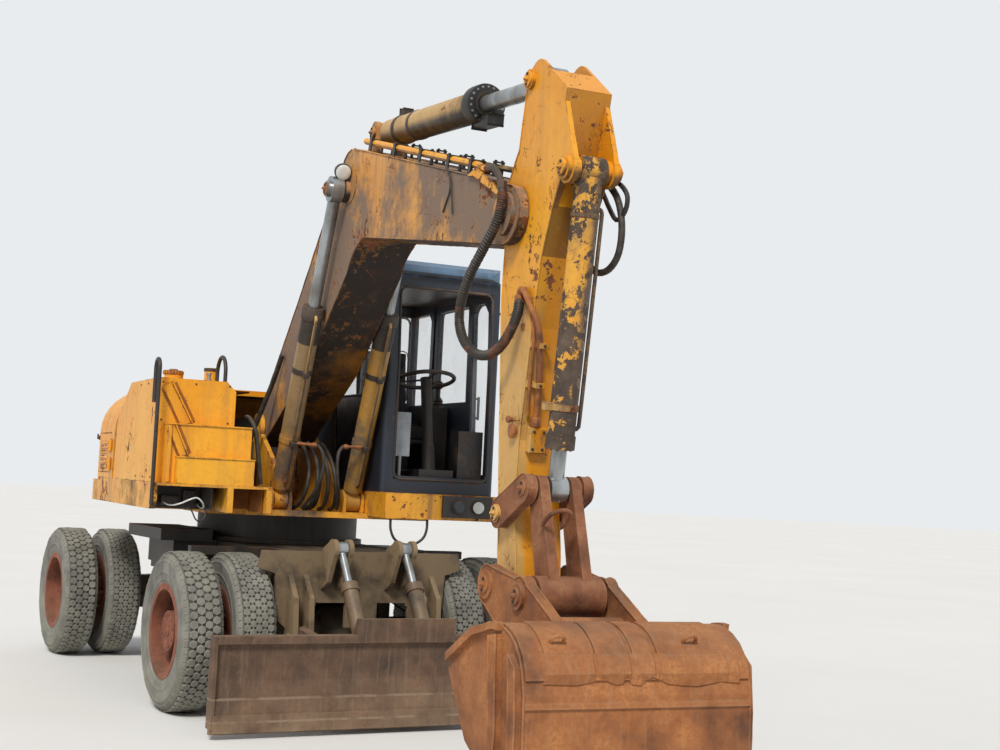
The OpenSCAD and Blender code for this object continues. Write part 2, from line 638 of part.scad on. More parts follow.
cab_z0 = frame_z1 + run_gap;
roof_z0 = cab_z1 - 115;
cab_side = [[cab_x0, cab_z0], [cab_x1, cab_z0], [cab_x1, 2330], [cab_x1 - 45, roof_z0 + 1], [cab_x0 + 20, roof_z0 + 1],
            [cab_x0, roof_z0 - 90]];
roof_side = [[cab_x0 - 18, roof_z0], [cab_x1 - 5, roof_z0], [cab_x1 + 12, roof_z0 + 22], [cab_x1 - 2, roof_z0 + 62],
             [cab_x1 - 60, roof_z0 + 98], [cab_x1 - 190, cab_z1], [cab_x0 + 120, cab_z1], [cab_x0 + 10, roof_z0 + 90],
             [cab_x0 - 18, roof_z0 + 50]];
door_x0 = 60;
door_line = [[door_x0, cab_z0 + 60], [cab_x1 - 55, cab_z0 + 60], [cab_x1 - 55, 2330], [cab_x1 - 90, 2890], [door_x0, 2890]];
door_front = [[850, 1590], [cab_x1 - 115, 1590], [cab_x1 - 115, 2340], [cab_x1 - 145, 2770], [1000, 2845], [850, 2845],
              [780, 2790]];
door_rear = [[120, 2130], [730, 2130], [715, 2845], [120, 2845]];
quarter = [[cab_x0 + 42, 2130], [door_x0 - 55, 2130], [door_x0 - 55, 2790], [door_x0 - 105, 2845], [cab_x0 + 42, 2845]];
side_window = [[-340, 2130], [cab_x1 - 110, 2130], [cab_x1 - 110, 2340], [cab_x1 - 150, 2845], [-340, 2845]];
cab_mid = (cab_y0 + cab_y1) / 2;
cab_half = (cab_y1 - cab_y0) / 2;
// A plan with rounded corners, as tall as the cab
module cab_plan(grow, radius) translate([cab_x0 - grow, cab_y0 - grow, 1000]) linear_extrude(2500) {
    w = cab_x1 - cab_x0 + 2 * grow;
    d = cab_y1 - cab_y0 + 2 * grow;
    translate([radius, 0]) square([w - 2 * radius, d]);
    translate([0, radius]) square([w, d - 2 * radius]);
    for (x = [radius, w - radius]) for (y = [radius, d - radius]) translate([x, y]) circle(r = radius);
}
module cab_shell() color(navy) upper() {
    difference() {
        intersection() {
            slab(2 * cab_half, cab_mid) polygon(cab_side);
            cab_plan(0, 45);
        }
        slab(2 * cab_half - 2 * cab_wall, cab_mid) polygon(inset(cab_side, cab_wall));
        // Front opening, door opening, side and rear windows
        box(cab_x1 - 400, 2000, cab_y0 + 95, cab_y1 - 58, cab_z0 + 95, 2885);
        slab(2 * cab_wall + 20, cab_y1) polygon(door_line);
        slab(2 * cab_wall + 20, cab_y0) polygon(side_window);
        box(cab_x0 - 10, cab_x0 + 80, cab_y0 + 110, cab_y1 - 60, 2150, 2845);
        slab(2 * cab_wall + 20, cab_y1) polygon(quarter);
    }
    intersection() {
        slab(2 * cab_half + 16, cab_mid) polygon(roof_side);
        cab_plan(8, 110);
    }
    // Sill under the front opening
    translate([cab_x1 - 30, cab_y0 + 80, cab_z0 + 102]) rotate([-90, 0, 0])
        cylinder(r = 16, h = cab_y1 - cab_y0 - 130);
}
module cab_glass() color([0.6, 0.7, 0.72, 0.4]) upper() {
    slab(glass_t, cab_y0 + cab_wall / 2) polygon(inset(side_window, run_gap));
    box(cab_x0 + 22, cab_x0 + 22 + glass_t, cab_y0 + 110 + run_gap, cab_y1 - 60 - run_gap,
        2150 + run_gap, 2845 - run_gap);
    slab(glass_t, cab_y1 - cab_wall / 2) polygon(inset(quarter, run_gap));
}
module cab_door() color(navy) upper() {
    difference() {
        slab(40, cab_y1 - 20) polygon(inset(door_line, 5));
        slab(60, cab_y1 - 20) polygon(door_front);
        slab(60, cab_y1 - 20) polygon(door_rear);
    }
    knuckles(door_x0 - 20, cab_y1, 1, [1640, 2000], 70);
    // Handle
    translate([820, cab_y1 + 28, 2000]) cylinder(r = 10, h = 170);
    for (z = [2015, 2155]) translate([820, cab_y1 - 1, z]) rotate([-90, 0, 0]) cylinder(r = 8, h = 30);
}
module door_glass() color([0.6, 0.7, 0.72, 0.4]) upper() {
    slab(glass_t, cab_y1 - 20) polygon(inset(door_front, run_gap));
    slab(glass_t, cab_y1 - 20) polygon(inset(door_rear, run_gap));
}

module seat() color([0.2, 0.2, 0.2]) upper() {
    box(-60, 420, cab_mid - 228, cab_mid + 228, 1820, 1950);
    intersection() {
        slab(440, cab_mid) polygon([[-40, 1930], [90, 1930], [10, 2500], [-30, 2560], [-120, 2560], [-130, 2500]]);
        box(-400, 400, cab_mid - 220, cab_mid + 220, 1900, 2600);
    }
    box(60, 300, cab_mid - 130, cab_mid + 130, cab_z0 + cab_wall + run_gap, 1821);
}
arm_rest_y = cab_half - cab_wall - 75;
wheel_tilt = 14;
module cab_console() color(black) upper() {
    a = [960, cab_z0 + cab_wall + run_gap];
    b = [800, 2270];
    rod_along(a, b, 40, 60, norm(b - a), cab_mid + 40);
    box(880, cab_x1 - cab_wall - 40, cab_mid - 110, cab_mid + 150, a[1], a[1] + 120);
    // Steering wheel with its spokes
    translate([b[0], cab_mid + 40, b[1]]) rotate([0, -wheel_tilt, 0]) {
        rotate_extrude() translate([205, 0]) circle(r = 15);
        for (i = [0:2]) rotate([0, 0, i * 120]) translate([0, -9, -6]) cube([205, 18, 10]);
        cylinder(r = 42, h = 24, center = true);
    }
    for (s = [-1, 1]) {
        box(60, 460, cab_mid + s * arm_rest_y - 60, cab_mid + s * arm_rest_y + 60, cab_z0 + cab_wall + run_gap, 2090);
        translate([400, cab_mid + s * arm_rest_y, 2080]) cylinder(r = 16, h = 170);
        translate([400, cab_mid + s * arm_rest_y, 2250]) sphere(r = 26);
    }
    // Heater box at the front and the monitor on the right
    box(980, 1130, cab_y1 - 250, cab_y1 - cab_wall - 12, a[1], 1900);
    box(900, 935, cab_y0 + cab_wall + 20, cab_y0 + cab_wall + 150, 1900, 2140);
    box(905, 930, cab_y0 + cab_wall + 70, cab_y0 + cab_wall + 100, a[1], 1901);
}
mirror_x = cab_x1 - 72;
module lamps() color(black) upper() {
    box(deck_x - 50 + run_gap, deck_x - 20, body_half - 440, body_half - 70, frame_z0 + 20, frame_z1 - 5);
    for (y = [330, 180]) translate([deck_x - 21, body_half - y, frame_z1 - 80]) rotate([0, 90, 0]) cylinder(r = 48, h = 14);
    // Mirror on the cab's corner post
    translate([mirror_x, cab_y1 + run_gap, 2760]) rotate([-90, 0, 0]) cylinder(r = 9, h = 100);
    box(mirror_x - 15, mirror_x + 15, cab_y1 + 50, cab_y1 + 160, 2500, 2775);
}

// Boom, arm and their cylinders

// Middle of the boom's rounded top, under the foot of the arm's cylinder
knee = [crowd_bx - 150, crowd_bz - 325];
boom_line = concat(arc(foot, 130, 130, 305, 12), [[1080, 2240]], arc([2180, 2640], 400, 150, 98, 6),
    [[3660, 2815], [elbow_x - 60, 2735]], arc(elbow, 150, -90, 62, 8), [[crowd_bx + 90, crowd_bz - 145]],
    arc(knee, 235, 62, 140, 5), [[830, 2775]]);
module boom() color(yellow) upper() difference() {
    union() {
        bar(elbow, 45 - run_gap, 2 * boom_half + 24);
        bar(crowd_b, 38 - run_gap, 2 * (60 + side_gap + 24) + 20);
        difference() {
            slab(2 * boom_half) polygon(boom_line);
            slab(2 * boom_half - 2 * plate_t) polygon(inset(boom_line, plate_t));
            // Fork round the arm
            box(elbow_x - 330, elbow_x + 400, -arm_half - side_gap, arm_half + side_gap, 2000, 4000);
        }
        for (s = [-1, 1]) bar(elbow, 110, boom_half - arm_half - side_gap + 25, s * ((boom_half + arm_half + side_gap) / 2 + 12));
        box(elbow_x - 350, elbow_x - 330, -boom_half + 1, boom_half - 1, 2830, 3050);
        bar(foot, 100, 2 * boom_half);
        for (s = [-1, 1]) {
            bar(lift_p, 75, 40, s * (boom_half + 15));
            strut(knee, lift_p, 120, 88, plate_t + 8, s * (boom_half - plate_t / 2));
        }
        for (s = [-1, 1]) slab(24, s * (60 + side_gap + 12)) union() {
            translate(crowd_b) circle(r = 75);
            polygon([crowd_b + [-75, 0], crowd_b + [-130, -185], crowd_b + [200, -205], crowd_b + [90, -125], crowd_b + [75, 0]]);
        }
    }
    bar(foot, 45, 900);
}

module lift_barrels() color(yellow) upper() for (s = [-1, 1]) difference() {
    union() {
        bar(lift_b, 72, 96, s * lift_y);
        rod_along(lift_b, lift_p, 46, 40, 100, s * lift_y);
        rod_along(lift_b, lift_p, lift_r, 90, 1380, s * lift_y);
        rod_along(lift_b, lift_p, lift_r + 8, 1320, 1400, s * lift_y);
        rod_along(lift_b, lift_p, lift_r + 6, 430, 470, s * lift_y);
    }
    bar(lift_b, 40, 300, s * lift_y);
    rod_along(lift_b, lift_p, 40 + run_gap, 200, 1500, s * lift_y);
}
module lift_rods() color(steel) upper() for (s = [-1, 1]) {
    rod_along(lift_p, lift_b, 40, 50, norm(lift_p - lift_b) - 810, s * lift_y);
    bar(lift_p, 85, 76, s * (lift_y + 5));
    bar(lift_p, 52, 24, s * (lift_y + 55));
}
module crowd_barrel() color(yellow) upper() difference() {
    union() {
        bar(crowd_b, 72, 120);
        rod_along(crowd_b, crowd_p, 58, 40, 110);
        rod_along(crowd_b, crowd_p, crowd_r, 100, 1530);
        rod_along(crowd_b, crowd_p, crowd_r + 22, 1490, 1570);
    }
    bar(crowd_b, 38, 300);
    rod_along(crowd_b, crowd_p, 48 + run_gap, 260, 2000);
}
module crowd_rod() color(steel) upper() {
    rod_along(crowd_p, crowd_b, 48, 50, norm(crowd_p - crowd_b) - 1050);
    bar(crowd_p, 78, 110);
}

arm_line = concat([[4235, 3210], [4130, 3060], [4120, 2700], [4110, 2460], [4185, 1510], [4215, 1180],
    [4262, 985], [4420, 985], [4410, 1200], [4370, 1460], [4385, 1760], [4470, 2300], [4540, 2640],
    [4640, 2870], [4660, 3120], [4735, 3420]], arc([4415, 3541], 90, 54, 115, 4), arc([4372, 3542], 70, 116, 169, 3));
module arm() color(yellow) upper() {
    difference() {
        union() {
            difference() {
                slab(2 * arm_half) polygon(arm_line);
                slab(2 * arm_half - 2 * plate_t) polygon(inset(arm_line, plate_t));
                box(4000, 4560, -arm_half + plate_t, arm_half - plate_t, 3380, 4000);
            }
            bar(elbow, 105, 2 * arm_half);
            bar(tip, 80, 2 * arm_half);
            for (s = [-1, 1]) slab(26, s * (arm_half - 13)) union() {
                translate(curl_b) circle(r = 75);
                polygon([curl_b + [70, 30], [4720, 3360], [4620, 3300], [4600, 2800], curl_b + [-60, -45]]);
            }
            for (s = [-1, 1]) bar(curl_b, 58, arm_half + 20 - curl_r - side_gap, s * (arm_half + 20 + curl_r + side_gap) / 2);
        }
        for (p = [elbow, tip]) bar(p, 45, 900);
    }
    bar(guide, 45 - run_gap, 2 * (arm_half + side_gap + 46 + 10));
    bar(curl_b, 35 - run_gap, 2 * (arm_half + 28));
    for (s = [-1, 1]) bar(crowd_p, 50, 20, s * (arm_half + 8));
}
module curl_barrel() color(yellow) upper() difference() {
    union() {
        bar(curl_b, 68, 2 * curl_r - 6);
        rod_along(curl_b, cross, curl_r, 30, 1300);
        rod_along(curl_b, cross, curl_r + 6, 1255, 1320);
    }
    bar(curl_b, 35, 300);
    rod_along(curl_b, cross, 38 + run_gap, 200, 1400);
}
module curl_rod() color(steel) upper() {
    rod_along(cross, curl_b, 38, 40, norm(cross - curl_b) - 500);
    bar(cross, 62, 90);
}
module guide_links() color(rust) upper() for (s = [-1, 1]) difference() {
    union() {
        strut(guide, cross, 70, 66, 46, s * (arm_half + side_gap + 23));
        bar(cross, 42 - run_gap, arm_half + side_gap + 23 - 60, s * (arm_half + side_gap + 23 + 60) / 2);
    }
    bar(guide, 45, 900);
}
module bucket_link() color(rust) upper() difference() {
    union() {
        for (s = [-1, 1]) strut(cross, link, 62, 78, 50, s * 85);
        bar(link, 95, 340);
    }
    bar(cross, 42, 900);
}

bucket_line = concat([[4680, 760]], [[4950, 900]], arc([5180, 700], 250, 110, 20, 6), [[bucket_front, 690], [5462, edge_z]],
    [[5432, edge_z]]);
// Outline of a plate t thick on the curved back of the shell, between two angles
function back_plate(a0, a1, t) = concat(arc([5180, 700], 251 + t, a0, a1, 8), arc([5180, 700], 245, a1, a0, 8));
module bucket() color(rust) upper() {
    difference() {
        slab(bucket_w) polygon(concat(bucket_line, [[4870, 420], [4655, 700]]));
        slab(bucket_w - 50) polygon([[4600, 760 - 40], [4690, 735], [4958, 874], [5190, 925], [5330, 880], [5405, 780],
            [5418, 690], [5440, 100], [5000, 100]]);
    }
    bar(tip, 45 - run_gap, 2 * 236 + 24);
    for (s = [-1, 1]) {
        slab(46, s * 213) union() {
            translate(tip) circle(r = 95);
            translate(link) circle(r = 90);
            polygon([tip + [-60, -70], [4690, 765], [4955, 890], [5120, 930], link + [60, 60], tip + [0, 95]]);
        }
        bar(tip, 70, 14, s * 242);
        bar(link, 62, 20, s * 245);
        // Rounded lip of the shell past its side plate, and the wear strips on that plate
        translate([0, s * (bucket_w / 2 + 14), 0]) {
            slab(30) polygon(concat([[4676, 742], [4672, 776], [4945, 922]], arc([5180, 700], 268, 112, 82, 3),
                arc([5180, 700], 236, 82, 112, 3), [[4956, 888]]));
            slab(28) polygon([[5130, 906], [5200, 918], [5230, 500], [5190, edge_z + 60], [5150, edge_z + 60], [5170, 500]]);
            slab(28) polygon([[5330, 850], [5395, 800], [5420, 600], [5420, edge_z], [5360, edge_z], [5360, 600]]);
        }
    }
    bar([4900, 900], 60, 420);
    // Wear plate and straps on the back
    slab(bucket_w - 16) polygon(back_plate(96, 12, 11));
    for (p = [[-328, 226], [-128, 150], [21, 92], [264, 336]]) slab(p[1], p[0]) polygon(back_plate(88, 16, 21));
    slab(bucket_w - 4) polygon([[bucket_front - 4, 668], [bucket_front + 10, 660], [bucket_front + 14, 640], [bucket_front, 634]]);
    // Teeth along the cutting edge
    for (i = [-2:2]) translate([5448, i * 250, 0]) slab(70)
        polygon([[-30, edge_z + 120], [30, edge_z + 120], [14, 30], [-4, 30]]);
}

chassis_frame();
slew_ring();
rigid_axle();
steer_axle();
knuckle_right();
knuckle_left();
tyres_near_right();
tyres_near_left();
tyres_far_right();
tyres_far_left();
rims_near_right();
rims_near_left();
rims_far_right();
rims_far_left();
blade();
blade_barrels();
blade_rods();
upper_frame();
counterweight();
engine_housing();
engine_hood();
engine_block();
valve_block();
side_door_right();
side_door_left();
tank_steps();
handrails();
cab_shell();
cab_glass();
cab_door();
door_glass();
seat();
cab_console();
lamps();
boom();
lift_barrels();
lift_rods();
crowd_barrel();
crowd_rod();
arm();
curl_barrel();
curl_rod();
guide_links();
bucket_link();
bucket();
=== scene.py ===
# %% [markdown]
# # A wheeled excavator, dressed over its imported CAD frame
#
# The CAD part holds every size, joint and main shape. This script loads it and gives each
# surface its finish, and it adds the things that a drawing office leaves out: tyre blocks,
# hoses, pipes, screws, welds, seals and cushions. It is written as a lesson for somebody
# who is learning Blender, one step to a cell.

# %% Load the frame
import json
import math
import random

import bmesh
import bpy
from mathutils import Matrix, Vector
from mathutils.bvhtree import BVHTree
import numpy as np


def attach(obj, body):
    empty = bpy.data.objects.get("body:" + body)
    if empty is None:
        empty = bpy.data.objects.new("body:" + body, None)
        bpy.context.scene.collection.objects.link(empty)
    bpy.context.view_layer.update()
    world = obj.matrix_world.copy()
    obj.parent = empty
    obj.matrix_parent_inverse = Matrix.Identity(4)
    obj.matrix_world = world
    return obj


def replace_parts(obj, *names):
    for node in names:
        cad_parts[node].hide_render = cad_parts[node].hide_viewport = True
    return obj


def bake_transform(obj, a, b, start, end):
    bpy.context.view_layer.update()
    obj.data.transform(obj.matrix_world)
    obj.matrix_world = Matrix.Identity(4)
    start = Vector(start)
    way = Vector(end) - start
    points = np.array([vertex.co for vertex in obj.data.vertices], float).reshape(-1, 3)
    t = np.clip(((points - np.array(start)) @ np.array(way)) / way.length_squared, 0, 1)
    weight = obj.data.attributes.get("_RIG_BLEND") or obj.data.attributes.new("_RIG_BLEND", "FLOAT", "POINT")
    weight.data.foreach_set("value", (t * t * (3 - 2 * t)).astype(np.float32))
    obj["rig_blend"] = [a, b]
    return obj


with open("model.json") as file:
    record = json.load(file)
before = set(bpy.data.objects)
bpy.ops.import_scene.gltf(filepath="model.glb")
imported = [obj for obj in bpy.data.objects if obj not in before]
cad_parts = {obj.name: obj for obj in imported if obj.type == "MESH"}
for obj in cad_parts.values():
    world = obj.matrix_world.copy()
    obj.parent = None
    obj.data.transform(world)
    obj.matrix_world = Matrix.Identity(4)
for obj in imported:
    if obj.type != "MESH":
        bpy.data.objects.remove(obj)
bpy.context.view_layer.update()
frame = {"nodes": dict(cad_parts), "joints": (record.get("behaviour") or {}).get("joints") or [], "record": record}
NODES = frame["nodes"]
JOINTS = {j["name"]: j for j in frame["joints"]}

# %% [markdown]
# ## Places
#
# Everything shares one frame in metres. The undercarriage is square to it, and the upper
# body is turned a few degrees on its slewing ring, as the machine was parked. Two matrices
# say that once: `LOWER` and `UPPER` take a point measured from the slewing axis.

# %% Places of the two halves
SWING = math.radians(-4.4)
AXIS = Vector(JOINTS["swing"]["pos_m"])
LOWER = Matrix.Translation((AXIS.x, AXIS.y, 0))
UPPER = LOWER @ Matrix.Rotation(SWING, 4, "Z")
TYRE_R, TREAD_DEPTH, TREAD_WIDTH = 0.507, 0.014, 0.192
OUTER_Y, TWIN_PITCH = 1.09, 0.345
NEAR_X, FAR_X = 1.25, -1.8
WHEELS = [(f"{end}_{side_name}", x, side) for end, x in (("near", NEAR_X), ("far", FAR_X))
          for side_name, side in (("right", -1), ("left", 1))]


def lower(x, y, z):
    return LOWER @ Vector((x, y, z))


def upper(x, y, z):
    return UPPER @ Vector((x, y, z))


def heading(x, y, z):
    """A direction of the upper body, turned with it."""
    return UPPER.to_3x3() @ Vector((x, y, z))


def standing(x, y, z):
    """A place of the upper body, with the axes of its frame."""
    return UPPER @ Matrix.Translation((x, y, z))


HOME = Matrix.Identity(4)


def shown(name, data):
    """A new object, linked into the scene."""
    made = bpy.data.objects.new(name, data)
    bpy.context.scene.collection.objects.link(made)
    return made


print("upper body turned", round(math.degrees(SWING), 1), "degrees about", [round(v, 3) for v in AXIS])

# %% [markdown]
# ## Camera
#
# The photograph was taken from the front right, at eye height, with the lens held a little
# askew. The camera is built from the three directions it looks along,
# so its roll is exact and no angle is converted twice.

# %% Camera
EYE = lower(10.666, -4.073, 1.55)
YAW, PITCH, ROLL = (math.radians(a) for a in (150.986, 4.091, 2.783))
LENS_MM = 54.0


def aim(eye, yaw, pitch, roll):
    """A camera matrix from where it stands, where it looks and how far it leans."""
    ahead = Vector((math.cos(pitch) * math.cos(yaw), math.cos(pitch) * math.sin(yaw), math.sin(pitch)))
    side = ahead.cross(Vector((0, 0, 1))).normalized()
    top = side.cross(ahead)
    right = side * math.cos(roll) + top * math.sin(roll)
    above = top * math.cos(roll) - side * math.sin(roll)
    turn = Matrix((right, above, -ahead)).transposed()
    return Matrix.Translation(eye) @ turn.to_4x4()


camera_data = bpy.data.cameras.new("photo_view")
camera_data.lens, camera_data.sensor_width = LENS_MM, 36.0
camera_data.clip_end = 400
camera = shown("photo_view", camera_data)
camera.matrix_world = aim(EYE, YAW, PITCH, ROLL)
bpy.context.scene.camera = camera
print("camera", [round(v, 3) for v in camera.location])

# %% [markdown]
# ## Node helpers
#
# Shader trees are long when each node takes three lines. `put` adds a node to the tree that
# is being drawn, sets its options and fills its sockets, from a plain value or from another
# node's output. The other helpers are short names for the nodes that are used most.

# %% Node helpers
DRAWN = []  # the trees so far; the helpers add to the last one


def rgb(code):
    """A colour written as a web code, made linear as the shader wants it."""
    parts = [int(code[i:i + 2], 16) / 255 for i in (1, 3, 5)]
    return tuple(p / 12.92 if p <= 0.04045 else ((p + 0.055) / 1.055) ** 2.4 for p in parts) + (1.0,)


def fill(socket, value):
    """A socket takes another node's output, a colour's web code or a plain value."""
    if isinstance(value, bpy.types.NodeSocket):
        DRAWN[-1].links.new(value, socket)
    else:
        socket.default_value = rgb(value) if str(value)[0] == "#" else value


def put(kind, inputs=None, **options):
    """One node with its options set and its inputs given by name or number."""
    made = DRAWN[-1].nodes.new(kind)
    for key, value in options.items():
        setattr(made, key, value)
    for key, value in (inputs or {}).items():
        fill(made.inputs[key], value)
    return made


def maths(operation, a, b=0.0, clamp=False):
    return put("ShaderNodeMath", {0: a, 1: b}, operation=operation, use_clamp=clamp).outputs[0]


def sum_of(operation):
    return lambda a, b, clamp=False: maths(operation, a, b, clamp)


plus, minus, times, larger = map(sum_of, ("ADD", "SUBTRACT", "MULTIPLY", "MAXIMUM"))


def ramp(value, low, high, to_low=0.0, to_high=1.0):
    """Spreads the part of a value between low and high over a new range, and holds it there."""
    return put("ShaderNodeMapRange", {"Value": value, "From Min": low, "From Max": high,
                                      "To Min": to_low, "To Max": to_high}).outputs["Result"]


def mix(share, a, b):
    return put("ShaderNodeMix", {"Factor": share, 6: a, 7: b}, data_type="RGBA").outputs[2]


def noise(place, scale, detail=4.0, rough=0.55):
    return put("ShaderNodeTexNoise", {"Vector": place, "Scale": scale, "Detail": detail,
                                      "Roughness": rough}).outputs["Fac"]


def stretch(place, scale):
    return put("ShaderNodeVectorMath", {0: place, 1: scale}, operation="MULTIPLY").outputs[0]


def here():
    return put("ShaderNodeTexCoord").outputs["Object"]


def parts_of(value):
    return put("ShaderNodeSeparateXYZ", {0: value}).outputs


def outward():
    return put("ShaderNodeNewGeometry").outputs["Normal"]


def group(name, inputs, outputs, kind="ShaderNodeTree"):
    """An empty node group with named sockets, and its two end nodes."""
    tree = bpy.data.node_groups.new(name, kind)
    DRAWN.append(tree)
    for label, kind, value in inputs:
        socket = tree.interface.new_socket(name=label, in_out="INPUT", socket_type="NodeSocket" + kind)
        if value is not None:
            socket.default_value = rgb(value) if kind == "Color" else value
    for label, kind in outputs:
        tree.interface.new_socket(name=label, in_out="OUTPUT", socket_type="NodeSocket" + kind)
    return tree, tree.nodes.new("NodeGroupInput").outputs, tree.nodes.new("NodeGroupOutput").inputs


print("node helpers ready")

# %% [markdown]
# ## Shared effects
#
# Old machines share the same ageing whatever colour they are: edges rub bare, chips show
# the steel, water draws streaks down the sides, and dust settles on what faces up and near
# the ground. Each effect is a node group, so all the materials age by the same rules.
# The first one finds edges, by asking how far a softened normal turns away from the true one.

# %% Edge wear
def edge_group():
    tree, given, out = group("rubbed edges", [("Width", "Float", 0.012), ("Breakup", "Float", 9.0)],
                             [("Edge", "Float")])
    place = here()
    soft = put("ShaderNodeBevel", {"Radius": given["Width"]}, samples=4).outputs[0]
    flat = outward()
    turn = put("ShaderNodeVectorMath", {0: soft, 1: flat}, operation="DOT_PRODUCT").outputs["Value"]
    edge = ramp(turn, 0.985, 0.8)
    patchy = ramp(noise(place, given["Breakup"], 5.0, 0.65), 0.4, 0.62)
    fill(out["Edge"], times(edge, patchy))
    return tree


EDGES = edge_group()
print("group", EDGES.name)


# %% Chips and scratches
def chip_group():
    """Flakes of paint: a fine noise rides on a broad one, and an edge lifts it over the limit."""
    tree, given, out = group("paint chips", [("Amount", "Float", 0.5), ("Scale", "Float", 14.0),
                                             ("Edge", "Float", 0.0)], [("Bare", "Float"), ("Rim", "Float")])
    place = here()
    large = noise(place, 1.9, 3.0, 0.6)
    fine = noise(place, given["Scale"], 8.0, 0.7)
    field = plus(times(large, 0.5), times(fine, 0.6))
    lifted = plus(field, times(given["Edge"], 0.22))
    over = minus(lifted, ramp(given["Amount"], 0.0, 1.0, 0.76, 0.5))
    bare = ramp(over, 0.0, 0.012)
    fill(out["Bare"], bare)
    # Rim: a thin band round each chip, made paler later as a painted highlight.
    fill(out["Rim"], minus(ramp(over, -0.018, -0.004), bare, clamp=True))
    return tree


def scratch_group():
    """Hairlines: the places where a stretched noise passes through its middle value."""
    tree, given, out = group("scratches", [("Amount", "Float", 0.5)], [("Line", "Float")])
    place = here()
    total = None
    for lean, scale, squeeze in ((0.35, 15.0, 0.1), (-0.6, 21.0, 0.14), (1.35, 12.0, 0.12)):
        turned = put("ShaderNodeVectorRotate", {"Vector": place, "Angle": lean},
                     rotation_type="Y_AXIS").outputs[0]
        field = noise(stretch(turned, (1.0, 1.0, squeeze)), scale, 2.0, 0.5)
        away = maths("ABSOLUTE", minus(field, 0.5))
        line = ramp(away, 0.01, 0.002)
        total = line if total is None else larger(total, line)
    broken = ramp(noise(place, 4.5, 5.0, 0.65), 0.52, 0.6)
    fill(out["Line"], times(times(total, broken), given["Amount"]))
    return tree


CHIPS, SCRATCHES = chip_group(), scratch_group()
print("groups", CHIPS.name, SCRATCHES.name)


# %% Streaks, grime and dust
def streak_group():
    tree, given, out = group("rain streaks", [("Amount", "Float", 0.5), ("Spacing", "Float", 16.0)],
                             [("Streak", "Float")])
    place = here()
    thin = noise(stretch(place, (1.0, 1.0, 0.07)), given["Spacing"], 4.0, 0.6)
    broad = noise(stretch(place, (1.0, 1.0, 0.25)), 2.2, 3.0)
    upright = ramp(parts_of(outward())["Z"], 0.75, 0.2)
    both = times(ramp(thin, 0.46, 0.66), ramp(broad, 0.38, 0.6))
    fill(out["Streak"], times(times(both, upright), given["Amount"]))
    return tree


def grime_group():
    """Oily dirt in broad patches, and painted shade that darkens every face turned down."""
    tree, given, out = group("grime", [("Amount", "Float", 0.3), ("Scale", "Float", 1.2), ("Below", "Float", 0.8)],
                             [("Patch", "Float"), ("Under", "Float")])
    place = here()
    broad = noise(place, given["Scale"], 7.0, 0.6)
    fine = noise(place, 17.0, 5.0, 0.7)
    field = plus(times(broad, 0.85), times(fine, 0.15))
    edge = ramp(given["Amount"], 0.0, 1.0, 0.68, 0.34)
    patch = ramp(minus(field, edge), -0.015, 0.075)
    down = parts_of(outward())["Z"]
    # Painted shade: faces turned down are darkened, in broad patches.
    under = times(ramp(down, -0.05, -0.45), ramp(broad, 0.3, 0.48, 0.45, 1.0))
    fill(out["Patch"], patch)
    fill(out["Under"], times(under, given["Below"]))
    return tree


def dust_group():
    tree, given, out = group("settled dust", [("Amount", "Float", 0.5), ("Ground", "Float", 0.6)],
                             [("Dust", "Float")])
    place = here()
    facing = parts_of(outward())["Z"]
    height = parts_of(place)["Z"]
    above = ramp(facing, 0.1, 0.9)
    near = ramp(height, given["Ground"], 0.0)
    patchy = ramp(noise(place, 5.0, 6.0, 0.62), 0.28, 0.7)
    most = plus(times(above, 0.75), near, clamp=True)
    film = plus(most, 0.16)
    fill(out["Dust"], times(times(film, patchy), given["Amount"], clamp=True))
    return tree


STREAKS, GRIME_AND_SHADE, DUST = streak_group(), grime_group(), dust_group()
print("groups", STREAKS.name, GRIME_AND_SHADE.name, DUST.name)


# %% Rust
def rust_group():
    tree, given, out = group("rust", [("Dark", "Color", "#3B211A"), ("Middle", "Color", "#7A4225"),
                                      ("Light", "Color", "#B0693A"), ("Scale", "Float", 6.0),
                                      ("Grain", "Float", 1.0)], [("Color", "Color"), ("Height", "Float")])
    place = here()
    blotch = noise(place, given["Scale"], 7.0, 0.62)
    grain = noise(place, times(given["Scale"], 14.0), 4.0, 0.7)
    warm = mix(ramp(blotch, 0.3, 0.5), given["Dark"], given["Middle"])
    pale = times(ramp(blotch, 0.48, 0.7), ramp(grain, 0.35, 0.6))
    fill(out["Color"], mix(pale, warm, given["Light"]))
    rough = times(grain, given["Grain"])
    fill(out["Height"], plus(rough, times(blotch, 0.8)))
    return tree


RUST = rust_group()
print("group", RUST.name)


# %% [markdown]
# ## Materials
#
# A material puts the groups in order: the coat's own colour with its fading, then grime and
# streaks as they lie on the steel, painted shade on the faces turned down, then scratches and
# chips down to rust with a painted highlight round each chip, and dust on top of all.
# The record's slot names are the first materials' names. The rest are the same
# paint where it had a harder life, such as the boom over the hot engine bay.

# %% Material builder
MATERIAL = {}


def use(effect, **inputs):
    return put("ShaderNodeGroup", inputs, node_tree=effect).outputs


def start(name):
    """A new material's Principled shader and the Object coordinates."""
    MATERIAL[name] = bpy.data.materials.new(name)
    MATERIAL[name].use_nodes = True
    DRAWN.append(MATERIAL[name].node_tree)
    DRAWN[-1].nodes.clear()
    shader = put("ShaderNodeBsdfPrincipled")
    put("ShaderNodeOutputMaterial", {"Surface": shader.outputs[0]})
    return shader, here()


def finish_with(shader, colour, roughness, height=None, strength=0.3, distance=0.004):
    fill(shader.inputs["Base Color"], colour)
    fill(shader.inputs["Roughness"], roughness)
    if height is not None:
        bump = put("ShaderNodeBump", {"Height": height, "Strength": strength, "Distance": distance})
        fill(shader.inputs["Normal"], bump.outputs[0])


print("material builder ready")


